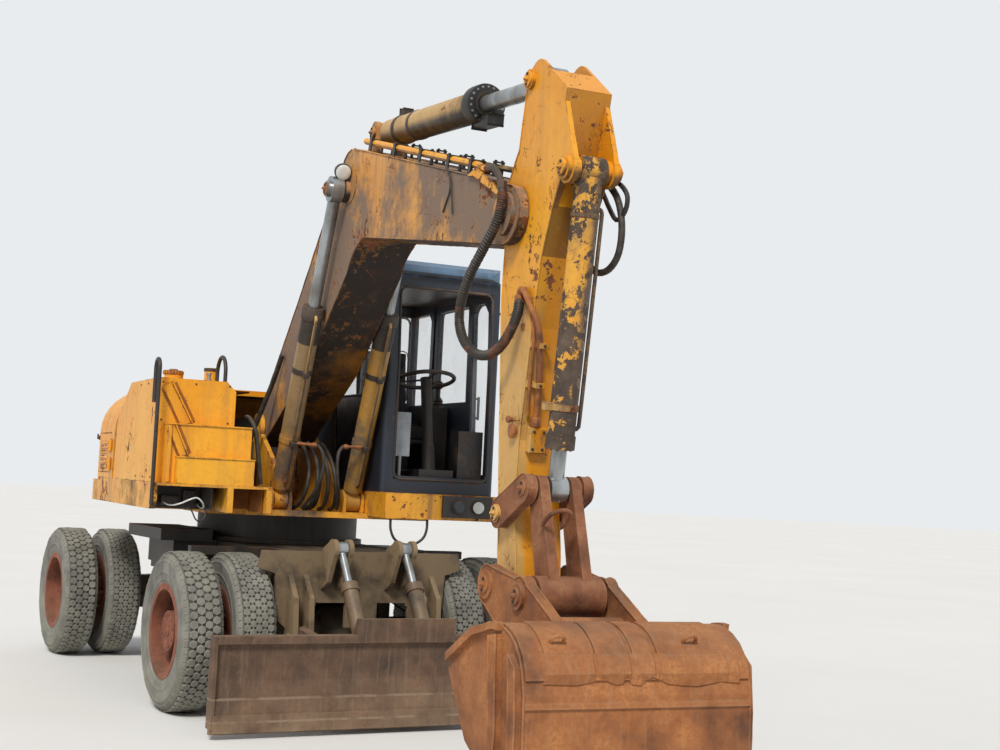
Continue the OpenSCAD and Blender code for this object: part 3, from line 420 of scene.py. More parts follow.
# %% Painted steel
def painted(name, coat, faded, bare, chips=0.35, dust=0.3, streaks=0.5, grime=0.2, shade_below=0.6, scratches=0.4,
            dirt="#6E5A48", underside_shade="#33261D", rough=0.42, ground=0.6, chip_scale=14.0, edge=0.014, mud=None,
            flakes=("#6E3D24", "#9A5B33"), zones=()):
    """Old paint: two tones of the coat, grime, streaks, painted shade on the faces turned down,
    scratches, chips to rust with a painted highlight round each, and a film of dust.
    A zone (axis, from, to, colour) is where another coat takes over, along one axis of the frame."""
    shader, place = start(name)
    tone = mix(ramp(noise(place, 1.3, 5.0, 0.6), 0.36, 0.64), coat, faded)
    for axis, low, high, other in zones:
        along = parts_of(place)[axis]
        uneven = times(minus(noise(place, 9.0, 5.0, 0.6), 0.5), 0.09)
        tone = mix(ramp(plus(along, uneven), low, high), tone, other)
    speck = ramp(noise(place, 26.0, 6.0, 0.75), 0.3, 0.72, 0.9, 1.08)
    tone = stretch(tone, put("ShaderNodeCombineXYZ", {0: speck, 1: speck, 2: speck}).outputs[0])
    dirt_and_shade = use(GRIME_AND_SHADE, Amount=grime, Below=shade_below)
    tone = mix(dirt_and_shade["Patch"], tone, dirt)
    tone = mix(use(STREAKS, Amount=streaks)["Streak"], tone, dirt)
    # Painted shade: faces turned down take the dark underside colour.
    tone = mix(dirt_and_shade["Under"], tone, underside_shade)
    rub = use(EDGES, Width=edge)["Edge"]
    chip = use(CHIPS, Amount=chips, Edge=rub, Scale=chip_scale)
    line = use(SCRATCHES, Amount=scratches)["Line"]
    rust = use(RUST, Dark=bare, Middle=flakes[0], Light=flakes[1], Scale=11.0)
    worn = larger(chip["Bare"], line)
    # Painted highlight: a paler rim round each chip.
    tone = mix(times(chip["Rim"], 0.35), tone, faded)
    tone = mix(worn, tone, rust["Color"])
    film = use(DUST, Amount=dust, Ground=ground)["Dust"]
    if mud:
        sides = parts_of(place)
        caked = times(ramp(sides["X"], mud[0], mud[1]),
                      ramp(noise(place, 3.0, 6.0, 0.65), 0.3, 0.5))
        film = larger(film, times(caked, 0.9))
    tone = mix(film, tone, "#8B7659")
    gloss = plus(plus(ramp(worn, 0, 1, rough, 0.85), 0.0),
                 times(larger(film, dirt_and_shade["Patch"]), 0.35), clamp=True)
    height = minus(times(noise(place, 34.0, 5.0, 0.65), 0.5), worn)
    finish_with(shader, tone, gloss, height, 0.45, 0.0025)
print("paint ready to mix")


# %% Painted finishes
# In these finishes, two of the arguments set the painted shade on faces turned down: how strong it is and its dark
# colour.
YELLOW, FADED, BARE = "#E5960F", "#EDAB2B", "#3A2218"
painted("yellow_paint", YELLOW, FADED, BARE, chips=0.38, dust=0.16, streaks=0.38, grime=0.1, shade_below=0.75)
painted("boom_paint", "#D08A22", "#DC9C38", BARE, chips=0.4, dust=0.12, streaks=0.7, grime=0.74, shade_below=1.0,
        dirt="#7D6858", scratches=0.6, underside_shade="#241C18", chip_scale=20.0)
painted("arm_paint", "#E0930F", "#EBA526", BARE, chips=0.3, dust=0.08, streaks=0.45, grime=0.14, shade_below=0.8,
        scratches=1.0, chip_scale=26.0, dirt="#A9793A", edge=0.009,
        zones=(("Z", 2.5, 2.2, "#CDA058"), ("Y", -0.392, -0.372, "#E0930F")))
painted("frame_paint", "#DC9318", "#E8A732", BARE, chips=0.5, dust=0.22, streaks=0.6, grime=0.42, shade_below=0.9,
        dirt="#5F4B3A")
painted("barrel_paint", "#8C7350", "#A58A5C", "#2E2119", chips=0.4, dust=0.2, streaks=0.5, grime=0.4, shade_below=0.22,
        dirt="#6A5C4A", rough=0.4, chip_scale=22.0,
        zones=(("Z", 1.86, 1.66, "#DC951F"), ("Y", 0.0, 0.1, "#B98A3C"), ("Z", 2.46, 2.52, "#2A231F")))
painted("tan_barrel_paint", "#B38B4E", "#C8A263", "#2A211B", chips=0.36, dust=0.12, streaks=0.3, grime=0.5,
        shade_below=1.0, dirt="#54483B", underside_shade="#26201C")
painted("flaked_paint", "#D8931F", "#E3A93F", "#3B312B", chips=0.8, dust=0.1, streaks=0.5, grime=0.3, shade_below=0.5,
        chip_scale=17.0, scratches=0.9, dirt="#6B5C4B", flakes=("#4A3E36", "#6E5D4E"),
        zones=(("Y", -0.345, -0.315, "#5E4C40"),))
painted("chassis_paint", "#19181A", "#262423", "#2E221C", chips=0.3, dust=0.55, streaks=0.15, ground=1.0,
        mud=(-0.3, 0.1), rough=0.5)
painted("mud_paint", "#55432F", "#6C563F", "#2E221B", chips=0.3, dust=0.62, streaks=0.4, ground=1.1, grime=0.5,
        dirt="#1D1D20")
painted("cab_paint", "#131B27", "#1B2634", "#4A2C1C", chips=0.22, dust=0.13, streaks=0.25, ground=0.2, grime=0.1,
        dirt="#2B2A28", scratches=0.6, chip_scale=24.0, zones=(("Z", 2.955, 2.985, "#56748F"),))
painted("black_trim", "#1A1A1C", "#2A2929", "#3A2A22", chips=0.22, dust=0.35, streaks=0.1, rough=0.5)
painted("machinery", "#1B1917", "#332C26", "#3B2A20", chips=0.45, dust=0.4, streaks=0.3, rough=0.55)
print("painted finishes", sorted(MATERIAL))


# %% Rusted steel
def rusted(name, dark, middle, light, scale, streaks, scraped=0.3, rough=0.78, film=0.35, pale="#A98A6C",
           seams=()):
    """Bare steel gone to rust, with long scrape marks where soil rubs it. seams are heights of
    welds across it, rubbed pale."""
    shader, place = start(name)
    rust = use(RUST, Dark=dark, Middle=middle, Light=light, Scale=scale)
    lines = noise(stretch(place, (1.0, 1.0, 0.05)), 34.0, 4.0, 0.65)
    rub = use(EDGES, Width=0.02)["Edge"]
    hair = use(SCRATCHES, Amount=0.5)["Line"]
    mark = plus(times(ramp(lines, 0.52, 0.74), streaks),
                times(larger(rub, hair), scraped), clamp=True)
    up = parts_of(place)["Z"]
    for height in seams:
        off = maths("ABSOLUTE", minus(up, height))
        worn = times(ramp(off, 0.009, 0.004), ramp(noise(place, 6.0), 0.38, 0.5))
        mark = larger(mark, times(worn, 0.75))
    tone = mix(mark, rust["Color"], pale)
    tone = mix(use(DUST, Amount=film, Ground=0.35)["Dust"], tone, "#8F7960")
    height = plus(rust["Height"], times(lines, 0.7))
    finish_with(shader, tone, rough, height, 0.6, 0.005)
print("rust ready to mix")


# %% Rusted finishes
rusted("rusted_steel", "#5E3720", "#93592F", "#BC7E46", 4.0, 0.22, 0.45)
rusted("blade_steel", "#33251E", "#5B4333", "#7E5E47", 3.4, 0.34, 0.35, pale="#8F7C69", film=0.7,
       seams=(0.228, 0.099))
rusted("old_pipe", "#4A2C1E", "#8A4E26", "#C07A34", 16.0, 0.05, 0.3, rough=0.6, pale="#D09040")
rusted("linkage_steel", "#4A2B1D", "#7E4B2E", "#A5704A", 5.0, 0.1, 0.4)
rusted("rim_rust", "#4A2A20", "#7C4430", "#A2644A", 7.0, 0.05, 0.15)
rusted("dark_steel", "#1D1917", "#2F2824", "#4B3D33", 6.0, 0.05, 0.25, rough=0.6, pale="#6E6156")


def metal_rod():
    """Chromed rod: bright along its length, with smears of oil and dust."""
    shader, place = start("chrome_rod")
    smear = ramp(noise(stretch(place, (1.0, 1.0, 0.4)), 9.0, 5.0), 0.35, 0.7)
    finish_with(shader, mix(smear, "#A9AEB1", "#6F6E6A"), ramp(smear, 0, 1, 0.25, 0.45))
    shader.inputs["Metallic"].default_value = 0.75


metal_rod()
print("steels ready")


# %% Rubber, glass and cloth
def rubber():
    """Tyre rubber: grey with dust, painted shade in its grooves, fine cracks round the wall."""
    shader, place = start("tyre")
    blotch = noise(place, 6.0, 6.0, 0.65)
    tone = mix(ramp(blotch, 0.36, 0.62), "#5A5A56", "#85847C")
    sides = parts_of(place)
    far_out = None
    for axle in (NEAR_X, FAR_X):
        flat = put("ShaderNodeCombineXYZ", {0: minus(sides["X"], AXIS.x + axle),
                                            2: minus(sides["Z"], TYRE_R)}).outputs[0]
        away = put("ShaderNodeVectorMath", {0: flat}, operation="LENGTH").outputs["Value"]
        far_out = away if far_out is None else maths("MINIMUM", far_out, away)
    # Painted shade: the casing between the blocks and the blocks' feet are darkened.
    groove_shade = times(ramp(far_out, 0.5005, 0.4945), ramp(far_out, 0.484, 0.49))
    tone = mix(times(groove_shade, 0.85), tone, "#33322F")
    rub = use(EDGES, Width=0.01, Breakup=18.0)["Edge"]
    tone = mix(times(rub, 0.6), tone, "#A3A198")
    film = use(DUST, Amount=0.6, Ground=0.9)["Dust"]
    tone = mix(film, tone, "#8C8878")
    finish_with(shader, tone, 0.88, noise(place, 60.0, 6.0, 0.7), 0.5, 0.003)


def hose_rubber():
    """Hose cover: near black, greyed by dust on its upper side."""
    shader, place = start("hose_rubber")
    tone = mix(ramp(noise(place, 22.0, 5.0), 0.4, 0.65), "#1B1917", "#3A332D")
    tone = mix(use(DUST, Amount=0.5, Ground=0.2)["Dust"], tone, "#6E6253")
    finish_with(shader, tone, 0.62, noise(place, 90.0, 4.0), 0.3, 0.001)


def clear_glass():
    """Cab glass: nearly clear, with a film of dust that catches the light."""
    shader, place = start("glass")
    film = ramp(noise(place, 2.5, 6.0, 0.65), 0.35, 0.75, 0.02, 0.16)
    finish_with(shader, "#DDE8EA", ramp(film, 0, 0.2, 0.03, 0.35))
    fill(shader.inputs["Alpha"], ramp(film, 0, 1, 0.1, 0.6))


def plain(name, colour, other, rough, scale=12.0, metallic=0.0):
    """A simple surface with a little unevenness, for lenses, plastic and bright fittings."""
    shader, place = start(name)
    vary = noise(place, scale, 5.0, 0.6)
    finish_with(shader, mix(ramp(vary, 0.35, 0.65), colour, other), rough, vary, 0.2,
                0.001)
    shader.inputs["Metallic"].default_value = metallic


def cloth():
    """Seat cover: a coarse weave, rubbed paler in patches."""
    shader, place = start("seat_cloth")
    weave = put("ShaderNodeTexWave", {"Vector": place, "Scale": 190.0, "Distortion": 0.6}).outputs["Fac"]
    cross = put("ShaderNodeTexWave", {"Vector": place, "Scale": 190.0, "Distortion": 0.6},
                bands_direction="Z").outputs["Fac"]
    worn = ramp(noise(place, 5.0, 5.0), 0.4, 0.65)
    finish_with(shader, mix(worn, "#2B2C2F", "#4E4C49"), 0.92,
                times(weave, cross), 0.6, 0.002)
print("rubber, glass and cloth ready to mix")


# %% Soft and clear finishes
rubber()
hose_rubber()
clear_glass()
cloth()
for name, *look in (("pale_lens", "#C9CBC6", "#E3E4DF", 0.18), ("dark_lens", "#23262B", "#3A3E44", 0.12),
                    ("orange_lens", "#B4551B", "#CC6A24", 0.2), ("red_lens", "#8E1F1A", "#A52A22", 0.2),
                    ("grey_panel", "#8E949B", "#A4A9AE", 0.6),
                    ("steel_bright", "#A9A49A", "#7E776C", 0.4, 14.0, 0.7),
                    ("black_paint", "#1B1A1A", "#2C2825", 0.45, 20.0),
                    ("shaded_paint", "#A35F17", "#7E4814", 0.7, 14.0)):
    plain(name, *look)
print("materials", len(MATERIAL))

# %% [markdown]
# ## Dressing the CAD nodes
#
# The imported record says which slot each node's finish comes from. The node keeps its mesh,
# and only the material in its slot is exchanged.

# %% Dress the nodes
SLOT_OF = {s["node"]: s["material_slot"] for s in frame["record"]["subparts"]}
HARDER_LIFE = {"boom": "boom_paint", "arm": "arm_paint", "lift_barrels": "barrel_paint", "blade": "blade_steel",
               "crowd_barrel": "tan_barrel_paint", "curl_barrel": "flaked_paint", "upper_frame": "frame_paint",
               "guide_links": "linkage_steel", "bucket_link": "linkage_steel"}
for name, node in NODES.items():
    node.data.materials.clear()
    node.data.materials.append(MATERIAL[HARDER_LIFE.get(name, SLOT_OF[name])])
print("dressed", len(NODES), "nodes")


# %% [markdown]
# ## Mesh helpers
#
# Small pieces are drawn with a few verbs: a lathe for what is round, a tube along a smooth
# path for pipes and hoses, a bevelled block for brackets. Each works in the rest frame, so
# a finished object never has to be moved.

# %% Mesh helpers
def as_mesh(name, bm):
    """The mesh of a drawing, with its faces turned outwards."""
    bmesh.ops.recalc_face_normals(bm, faces=bm.faces)
    mesh = bpy.data.meshes.new(name)
    bm.to_mesh(mesh)
    bm.free()
    return mesh


def smooth(obj, angle=35):
    for face in obj.data.polygons:
        face.use_smooth = True
    obj.data.set_sharp_from_angle(angle=math.radians(angle))
    return obj


def piece(name, mesh, slot, body, finish=None, angle=None):
    """A mesh or drawing as a finished piece: linked, dressed, riding on a body, and smooth up to
    an angle in degrees where one is given."""
    if isinstance(mesh, bmesh.types.BMesh):
        mesh = as_mesh(name, mesh)
    mesh.materials.clear()
    mesh.materials.append(MATERIAL[finish or slot])
    made = shown(name, mesh)
    if body:
        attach(made, body)
    return smooth(made, angle) if angle else made
print("pieces can be made")


# %% Drawing verbs
def spline(points, steps):
    """A Catmull-Rom curve through the points, as a list of steps+1 places."""
    pts = [Vector(p) for p in points]
    pts = [2 * pts[0] - pts[1], *pts, 2 * pts[-1] - pts[-2]]
    spans, out = len(pts) - 3, []
    for k in range(steps + 1):
        t = k / steps * spans
        i = min(int(t), spans - 1)
        u, (a, b, c, d) = t - i, pts[i:i + 4]
        out.append(0.5 * (2 * b + (c - a) * u + (2 * a - 5 * b + 4 * c - d) * u ** 2
                          + (3 * b - a - 3 * c + d) * u ** 3))
    return out


def skin(bm, rings, ends=True):
    """Faces between each ring of points and the next, and over the two end rings."""
    for one, two in zip(rings, rings[1:]):
        for k in range(len(one)):
            j = (k + 1) % len(one)
            bm.faces.new((one[k], one[j], two[j], two[k]))
    if ends:
        bm.faces.new(reversed(rings[0]))
        bm.faces.new(rings[-1])


def full_turn(count):
    return [2 * math.pi * k / count for k in range(count)]


def polar(a, radius=1.0, height=0.0):
    return Vector((radius * math.cos(a), radius * math.sin(a), height))


def lathe(bm, profile, place, sides=64):
    """Turns a closed outline of (radius, height) round the place's Z axis."""
    rings = [[bm.verts.new(place @ polar(a, r, h)) for r, h in profile] for a in full_turn(sides)]
    skin(bm, rings + rings[:1], False)


def spun(bm, outline, place, sides=32):
    """An open outline of (radius, height) turned round Z, with both ends closed."""
    skin(bm, [[bm.verts.new(place @ polar(a, r, h)) for a in full_turn(sides)] for r, h in outline])


def tube(bm, path, radius, sides=10):
    """A round bar along a path, closed at both ends. radius is a number or one for each point."""
    radii = radius if isinstance(radius, list) else [radius] * len(path)
    ahead = [(path[min(i + 1, len(path) - 1)] - path[max(i - 1, 0)]).normalized() for i in range(len(path))]
    across = ahead[0].orthogonal().normalized()
    rings = []
    for at, way, r in zip(path, ahead, radii):
        across = (across - way * across.dot(way)).normalized()
        other = way.cross(across)
        rings.append([bm.verts.new(at + r * (across * math.cos(a) + other * math.sin(a)))
                      for a in full_turn(sides)])
    skin(bm, rings)


def bent(bm, points, steps, radius, sides, place=upper):
    """A round bar bent along a smooth curve through points of one half's frame."""
    tube(bm, spline([place(*p) for p in points], steps), radius, sides)


def block(bm, low, high, place, bevel=0.0):
    """A box between two corners of the place's own frame, its edges rounded by bevel."""
    made = bmesh.ops.create_cube(bm, size=1.0)["verts"]
    size, middle = Vector(high) - Vector(low), (Vector(high) + Vector(low)) / 2
    for v in made:
        v.co = place @ (Vector((v.co.x * size.x, v.co.y * size.y, v.co.z * size.z)) + middle)
    if bevel:
        edges = list(dict.fromkeys(e for v in made for e in v.link_edges))
        bmesh.ops.bevel(bm, geom=edges, offset=bevel, segments=2, affect="EDGES", profile=0.6)


def blocks(bm, place, *boxes):
    """Several blocks of one place, each (low corner, high corner, bevel)."""
    for low, high, bevel in boxes:
        block(bm, low, high, place, bevel)


def stand(at, way):
    """A place whose Z axis points along a direction."""
    z = Vector(way).normalized()
    x = z.orthogonal().normalized()
    return Matrix.Translation(at) @ Matrix((x, z.cross(x), z)).transposed().to_4x4()


print("mesh helpers ready")


# %% [markdown]
# ## Repeats with Geometry Nodes
#
# Screws, tyre blocks, louvres and hose ribs all repeat one small shape. A Geometry
# Nodes tree puts an instance on each point, turns it to the point's own direction and
# gives it a finish. The instances are made real and the result is taken as a plain mesh,
# because an exported model can't hold instances.

# %% The repeating tree
def repeat_tree():
    """Points with a 'facing' and an 'along' direction, and one shape set on each."""
    tree, given, out = group("repeat a shape", [
        ("Geometry", "Geometry", None), ("Shape", "Object", None), ("Size", "Float", 1.0),
        ("Unevenness", "Float", 0.0), ("Seed", "Int", 1), ("Finish", "Material", None)],
                             [("Geometry", "Geometry")], "GeometryNodeTree")
    facing = put("GeometryNodeInputNamedAttribute", {"Name": "facing"}, data_type="FLOAT_VECTOR").outputs[0]
    along = put("GeometryNodeInputNamedAttribute", {"Name": "along"}, data_type="FLOAT_VECTOR").outputs[0]
    first = put("FunctionNodeAlignRotationToVector", {"Vector": facing}, axis="Z").outputs[0]
    turned = put("FunctionNodeAlignRotationToVector", {"Rotation": first, "Vector": along},
                 axis="X", pivot_axis="Z").outputs[0]
    low = minus(1.0, given["Unevenness"])
    high = plus(1.0, given["Unevenness"])
    vary = put("FunctionNodeRandomValue", {2: low, 3: high, "Seed": given["Seed"]}, data_type="FLOAT")
    size = times(vary.outputs[1], given["Size"])
    shape = put("GeometryNodeObjectInfo", {"Object": given["Shape"]}).outputs["Geometry"]
    spread = put("GeometryNodeInstanceOnPoints", {"Points": given["Geometry"], "Instance": shape,
                                                  "Rotation": turned, "Scale": size}).outputs[0]
    real = put("GeometryNodeRealizeInstances", {0: spread}).outputs[0]
    dressed = put("GeometryNodeSetMaterial", {"Geometry": real, "Material": given["Finish"]}).outputs[0]
    fill(out["Geometry"], dressed)
    return tree


REPEAT = repeat_tree()
SOCKET = {s.name: s.identifier for s in REPEAT.interface.items_tree if s.in_out == "INPUT"}
print("repeat tree", len(REPEAT.nodes), "nodes")


# %% Using the tree
def settled(holder):
    """The plain mesh that an object's modifiers make, after which the object and they are gone."""
    bpy.context.view_layer.update()
    mesh = bpy.data.meshes.new_from_object(holder.evaluated_get(bpy.context.evaluated_depsgraph_get()))
    holder.modifiers.clear()
    bpy.data.objects.remove(holder)
    return mesh


def spot(place, at, facing=(0, 0, 1), along=(1, 0, 0)):
    """A point to repeat a shape on, in a place's own frame: where, facing what, along what."""
    turn = place.to_3x3()
    return place @ Vector(at), turn @ Vector(facing), turn @ Vector(along)


def repeated(name, spots, shape, slot, body, size=1.0, uneven=0.0, seed=1):
    """One plain piece with the shape set on each of the spots (place, facing, along)."""
    points = bpy.data.meshes.new(name)
    points.from_pydata([tuple(s[0]) for s in spots], [], [])
    for number, label in ((1, "facing"), (2, "along")):
        layer = points.attributes.new(label, "FLOAT_VECTOR", "POINT")
        layer.data.foreach_set("vector", [c for s in spots for c in Vector(s[number]).normalized()])
    holder = shown(name + "_points", points)
    modifier = holder.modifiers.new("repeat", "NODES")
    modifier.node_group = REPEAT
    for label, value in (("Shape", shape), ("Size", size), ("Unevenness", uneven), ("Seed", seed),
                         ("Finish", MATERIAL[slot])):
        modifier[SOCKET[label]] = value
    mesh = settled(holder)
    for layer in list(mesh.attributes):
        if layer.name in ("facing", "along"):
            mesh.attributes.remove(layer)
    return piece(name, mesh, slot, body)
print("shapes can be repeated")


# %% Small shapes to repeat
def pattern_shape(name, draw):
    """A small shape to repeat, kept out of the scene's collection so that only its copies show."""
    bm = bmesh.new()
    draw(bm)
    return bpy.data.objects.new(name, as_mesh(name, bm))


def hexagon(bm, across, height, round_by, base=0.0, width=1.0):
    """A six sided block standing on z = base, its top edge rounded."""
    rings, corner = [], math.pi / 6
    for r, z in ((across / 2, base), (across / 2, height - round_by), (across / 2 - round_by, height)):
        rings.append([bm.verts.new((r / math.cos(corner) * math.cos((k + 0.5) * 2 * math.pi / 6),
                                    r / math.cos(corner) * math.sin((k + 0.5) * 2 * math.pi / 6) * width, z))
                      for k in range(6)])
    skin(bm, rings)


def draw_bolt(bm):
    """A hexagon head on its washer. A size of 1 is the bolt's own radius."""
    hexagon(bm, 1.5, 0.78, 0.1, 0.1)
    rings = [[bm.verts.new(polar(k * math.pi / 6, r, z)) for k in range(12)]
             for r, z in ((0.95, 0.0), (0.95, 0.16), (0.6, 0.16))]
    skin(bm, rings, False)


BOLT = pattern_shape("bolt_shape", draw_bolt)


def bolts(name, spots, body, size):
    repeated(name, spots, BOLT, "black_trim", body, size)


print("bolt", len(BOLT.data.polygons), "faces")

# %% [markdown]
# ## Tyres
#
# The tyres are worn all-round ones: rows of six sided blocks, set half a block apart, with
# heavier lugs at the shoulder. The casing is a lathe shape whose outline bulges as a loaded
# tyre does. The blocks follow a rule, so Geometry Nodes set them, each a little
# different in size as wear leaves them.

# %% Tyre casing
WALL = [(0.285, 0.104), (0.292, 0.112), (0.318, 0.116), (0.322, 0.121), (0.345, 0.123), (0.365, 0.127),
        (0.369, 0.13), (0.376, 0.13), (0.38, 0.1275), (0.405, 0.129), (0.432, 0.127), (0.436, 0.1295),
        (0.444, 0.129), (0.448, 0.125), (0.466, 0.119), (0.48, 0.108), (0.489, 0.09), (0.493, 0.06)]
CASING = WALL + [(0.4945, 0.0)] + [(r, -h) for r, h in reversed(WALL)]


def wheel_place(x, side, y):
    """The frame of a tyre: its Z axis points outwards along the axle."""
    turn = Matrix.Rotation(math.radians(-90 if side > 0 else 90), 4, "X")
    return Matrix.Translation(lower(x, side * y, TYRE_R)) @ turn


print("casing outline", len(CASING), "points")


# %% Tyre blocks
def block_spots(place, columns, count, phase):
    """Points of the tread in staggered rows."""
    spots, step = [], 2 * math.pi / count
    half = (columns - 1) / 2
    pitch = TREAD_WIDTH / columns
    for column in range(columns):
        offset = (column - half) * pitch
        crown = TYRE_R - TREAD_DEPTH - 0.0009 - 0.35 * offset ** 2
        for k in range(count):
            a = (k + 0.5 * (column % 2) + phase) * step
            out = polar(a)
            spots.append(spot(place, out * crown + Vector((0, 0, offset)), out, (0, 0, 1)))
    return spots


def lug_spots(place, count, phase):
    """Points of the lugs on both shoulders."""
    spots, step = [], 2 * math.pi / count
    for side in (-1, 1):
        for k in range(count):
            a = (k + phase + (0.5 if side > 0 else 0)) * step
            out = polar(a)
            lean = (out * math.cos(0.72) + Vector((0, 0, side * math.sin(0.72)))).normalized()
            round_it = out.cross(Vector((0, 0, 1)))
            spots.append(spot(place, out * 0.4715 + Vector((0, 0, side * 0.1015)), lean, round_it))
    return spots


HEX_BLOCK = pattern_shape("tread_block_shape", lambda bm: hexagon(bm, 0.04, TREAD_DEPTH, 0.0035, -0.004, 1.12))
WIDE_BLOCK = pattern_shape("wide_block_shape", lambda bm: hexagon(bm, 0.049, TREAD_DEPTH, 0.004, -0.004, 1.0))
LUG = pattern_shape("lug_shape", lambda bm: block(bm, (-0.021, -0.02, -0.006), (0.021, 0.021, 0.0125),
                                                  HOME, 0.004))

tread_count = 0
for wheel, x, side in WHEELS:
    body = "wheels_" + wheel
    casing = bmesh.new()
    spots, wide, lugs = [], [], []
    for number, y in enumerate((OUTER_Y, OUTER_Y - TWIN_PITCH)):
        place = wheel_place(x, side, y)
        lathe(casing, CASING, place, 72)
        phase = 0.31 * number + 0.17 * (side + 1) + (0.4 if x == FAR_X else 0.0)
        if number:
            spots += block_spots(place, 5, 62, phase)
        else:
            wide += block_spots(place, 4, 54, phase)
        lugs += lug_spots(place, 62, phase)
    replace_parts(piece("casing_" + wheel, casing, "tyre", body, angle=35), "tyres_" + wheel)
    for name, at, shape, uneven, seed in (("tread_inner_", spots, HEX_BLOCK, 0.07, 3),
                                          ("tread_outer_", wide, WIDE_BLOCK, 0.07, 7),
                                          ("lugs_", lugs, LUG, 0.08, 11)):
        repeated(name + wheel, at, shape, "tyre", body, 1.0, uneven, seed + side)
        tread_count += len(at)
print("tyre blocks", tread_count)

# %% [markdown]
# ## Hoses and pipes
#
# Oil reaches the arm through hoses that hang in loops at the joints, one of them armoured
# with a wire spiral, and through steel pipes clamped along the boom. A hose's line is a smooth curve
# through the points it passes, with the ribs set along it.

# %% Hose builder
RIB_R = 0.0165
RIB = pattern_shape("rib_shape", lambda bm: lathe(bm, [(RIB_R, -0.0035), (0.0195, -0.0015), (0.0195, 0.0015),
                                                       (RIB_R, 0.0035)], HOME, 14))


def hose(name, points, radius, body, ribs=False, steps=36, span=None, finish="hose_rubber"):
    """A flexible hose through points of the upper body's frame; its length along the path is returned. Where it
    crosses a joint, body is the two bodies and span the stretch over which a weight from the first body to the
    second is stored."""
    path = spline([upper(*p) for p in points], steps)
    bm = bmesh.new()
    tube(bm, path, radius, 12)
    rider = None if span else body
    made = piece(name, bm, "black_trim", rider, finish, 35)
    length = sum((b - a).length for a, b in zip(path, path[1:]))
    extra = []
    if ribs:
        fine = spline([upper(*p) for p in points], int(length / 0.0125))
        spots = [(fine[i], fine[i + 1] - fine[i - 1], (fine[i + 1] - fine[i - 1]).orthogonal())
                 for i in range(3, len(fine) - 3)]
        extra = [smooth(repeated(name + "_ribs", spots, RIB, "black_trim", rider, radius / RIB_R, 0.03, 5))]
    if span:
        for crossing in (made, *extra):
            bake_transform(crossing, *body, start=upper(*span[0]), end=upper(*span[1]))
    return length


# The loop from the boom's nose down and back up to the arm's side
loop_length = hose("arm_loop_hose", [(4.268, -0.22, 2.99), (4.3, -0.234, 2.915), (4.262, -0.245, 2.814),
                                     (4.128, -0.25, 2.7), (4.0, -0.255, 2.592), (3.915, -0.258, 2.472),
                                     (3.9, -0.258, 2.362), (3.963, -0.255, 2.262), (4.09, -0.248, 2.19),
                                     (4.225, -0.236, 2.172), (4.33, -0.218, 2.208), (4.385, -0.192, 2.285),
                                     (4.398, -0.165, 2.37), (4.378, -0.148, 2.44)], 0.022, ("boom", "arm"),
                   ribs=True, span=((4.22, -0.2, 2.95), (4.4, -0.2, 2.35)))
print("loop hose", round(loop_length, 2), "m")


# %% Pipes
def pipe(name, points, radius, body, slot, finish=None, steps=24, place=upper):
    bm = bmesh.new()
    bent(bm, points, steps, radius, 10, place)
    return piece(name, bm, slot, body, finish, 35)


ARM_LEAN, BOOM_LEAN = 0.156, 0.253  # of the arm's front plate and the boom's top plate, in radians


def front_of_arm(z, away, y):
    """A point some way off the arm's front plate, which leans with the arm."""
    return (4.401 + (z - 1.864) * 0.157 + away, y, z)


def on_arm(z):
    return standing(*front_of_arm(z, 0, 0)) @ Matrix.Rotation(ARM_LEAN, 4, "Y")


pipe("arm_pipe", [(4.372, -0.148, 2.452), (4.395, -0.152, 2.487), (4.435, -0.15, 2.475), (4.48, -0.135, 2.4),
                  front_of_arm(2.29, 0.04, -0.1), front_of_arm(2.15, 0.036, -0.075),
                  front_of_arm(2.0, 0.034, -0.062), front_of_arm(1.86, 0.034, -0.058)], 0.016, "arm",
     "rusted_steel", "old_pipe", steps=30)
pipe("arm_pipe_thin", [(4.395, -0.128, 2.5), (4.45, -0.13, 2.42), front_of_arm(2.25, 0.02, -0.112),
                       front_of_arm(2.0, 0.018, -0.104), front_of_arm(1.88, 0.02, -0.098)], 0.008, "arm",
     "rusted_steel", "old_pipe")
print("arm pipes laid")


# %% Pipes along the boom
def boom_top(x):
    """Height of the boom's top plate over its straight part."""
    return 3.631 - 0.2585 * (x - 1.9)


for number, (y, above, radius) in enumerate(((-0.148, 0.066, 0.021), (-0.106, 0.054, 0.013),
                                             (0.132, 0.06, 0.017))):
    last = [(3.76, y, 3.215), (3.86, y * 1.05, 3.18), (3.94, y * 1.08, 3.152)]
    if number:
        last = [(3.72, y, 3.222), (3.8, y * 1.04, 3.199), (3.875, y * 1.06, 3.177)]
    pipe(f"boom_pipe_{number}", [(x, y, boom_top(x) + above) for x in (1.98, 2.45, 2.9, 3.35)] + last,
         radius, "boom", "yellow_paint", "tan_barrel_paint" if number else "yellow_paint")
print("boom pipes laid")


# %% Saddles of the boom pipes
saddles = bmesh.new()
saddle_bolts = []
for x in (2.12, 2.55, 2.98, 3.41, 3.72):
    lean = standing(x, 0, boom_top(x)) @ Matrix.Rotation(BOOM_LEAN, 4, "Y")
    for low_y, high_y in ((-0.176, -0.092), (0.104, 0.16)):
        block(saddles, (-0.03, low_y, 0.001), (0.03, high_y, 0.01), lean, 0.002)
        for y in (low_y + 0.004, high_y - 0.004):
            block(saddles, (-0.018, y - 0.004, 0.009), (0.018, y + 0.004, 0.082), lean, 0.0015)
        block(saddles, (-0.02, low_y - 0.002, 0.08), (0.02, high_y + 0.002, 0.09), lean, 0.003)
    for y in (-0.168, -0.1, 0.112, 0.152):
        saddle_bolts.append(spot(lean, (0, y, 0.0895)))
piece("boom_pipe_saddles", saddles, "machinery", "boom", "black_paint")
bolts("boom_saddle_bolts", saddle_bolts, "boom", 0.01)
print("boom pipes on", len(saddle_bolts), "bolts")


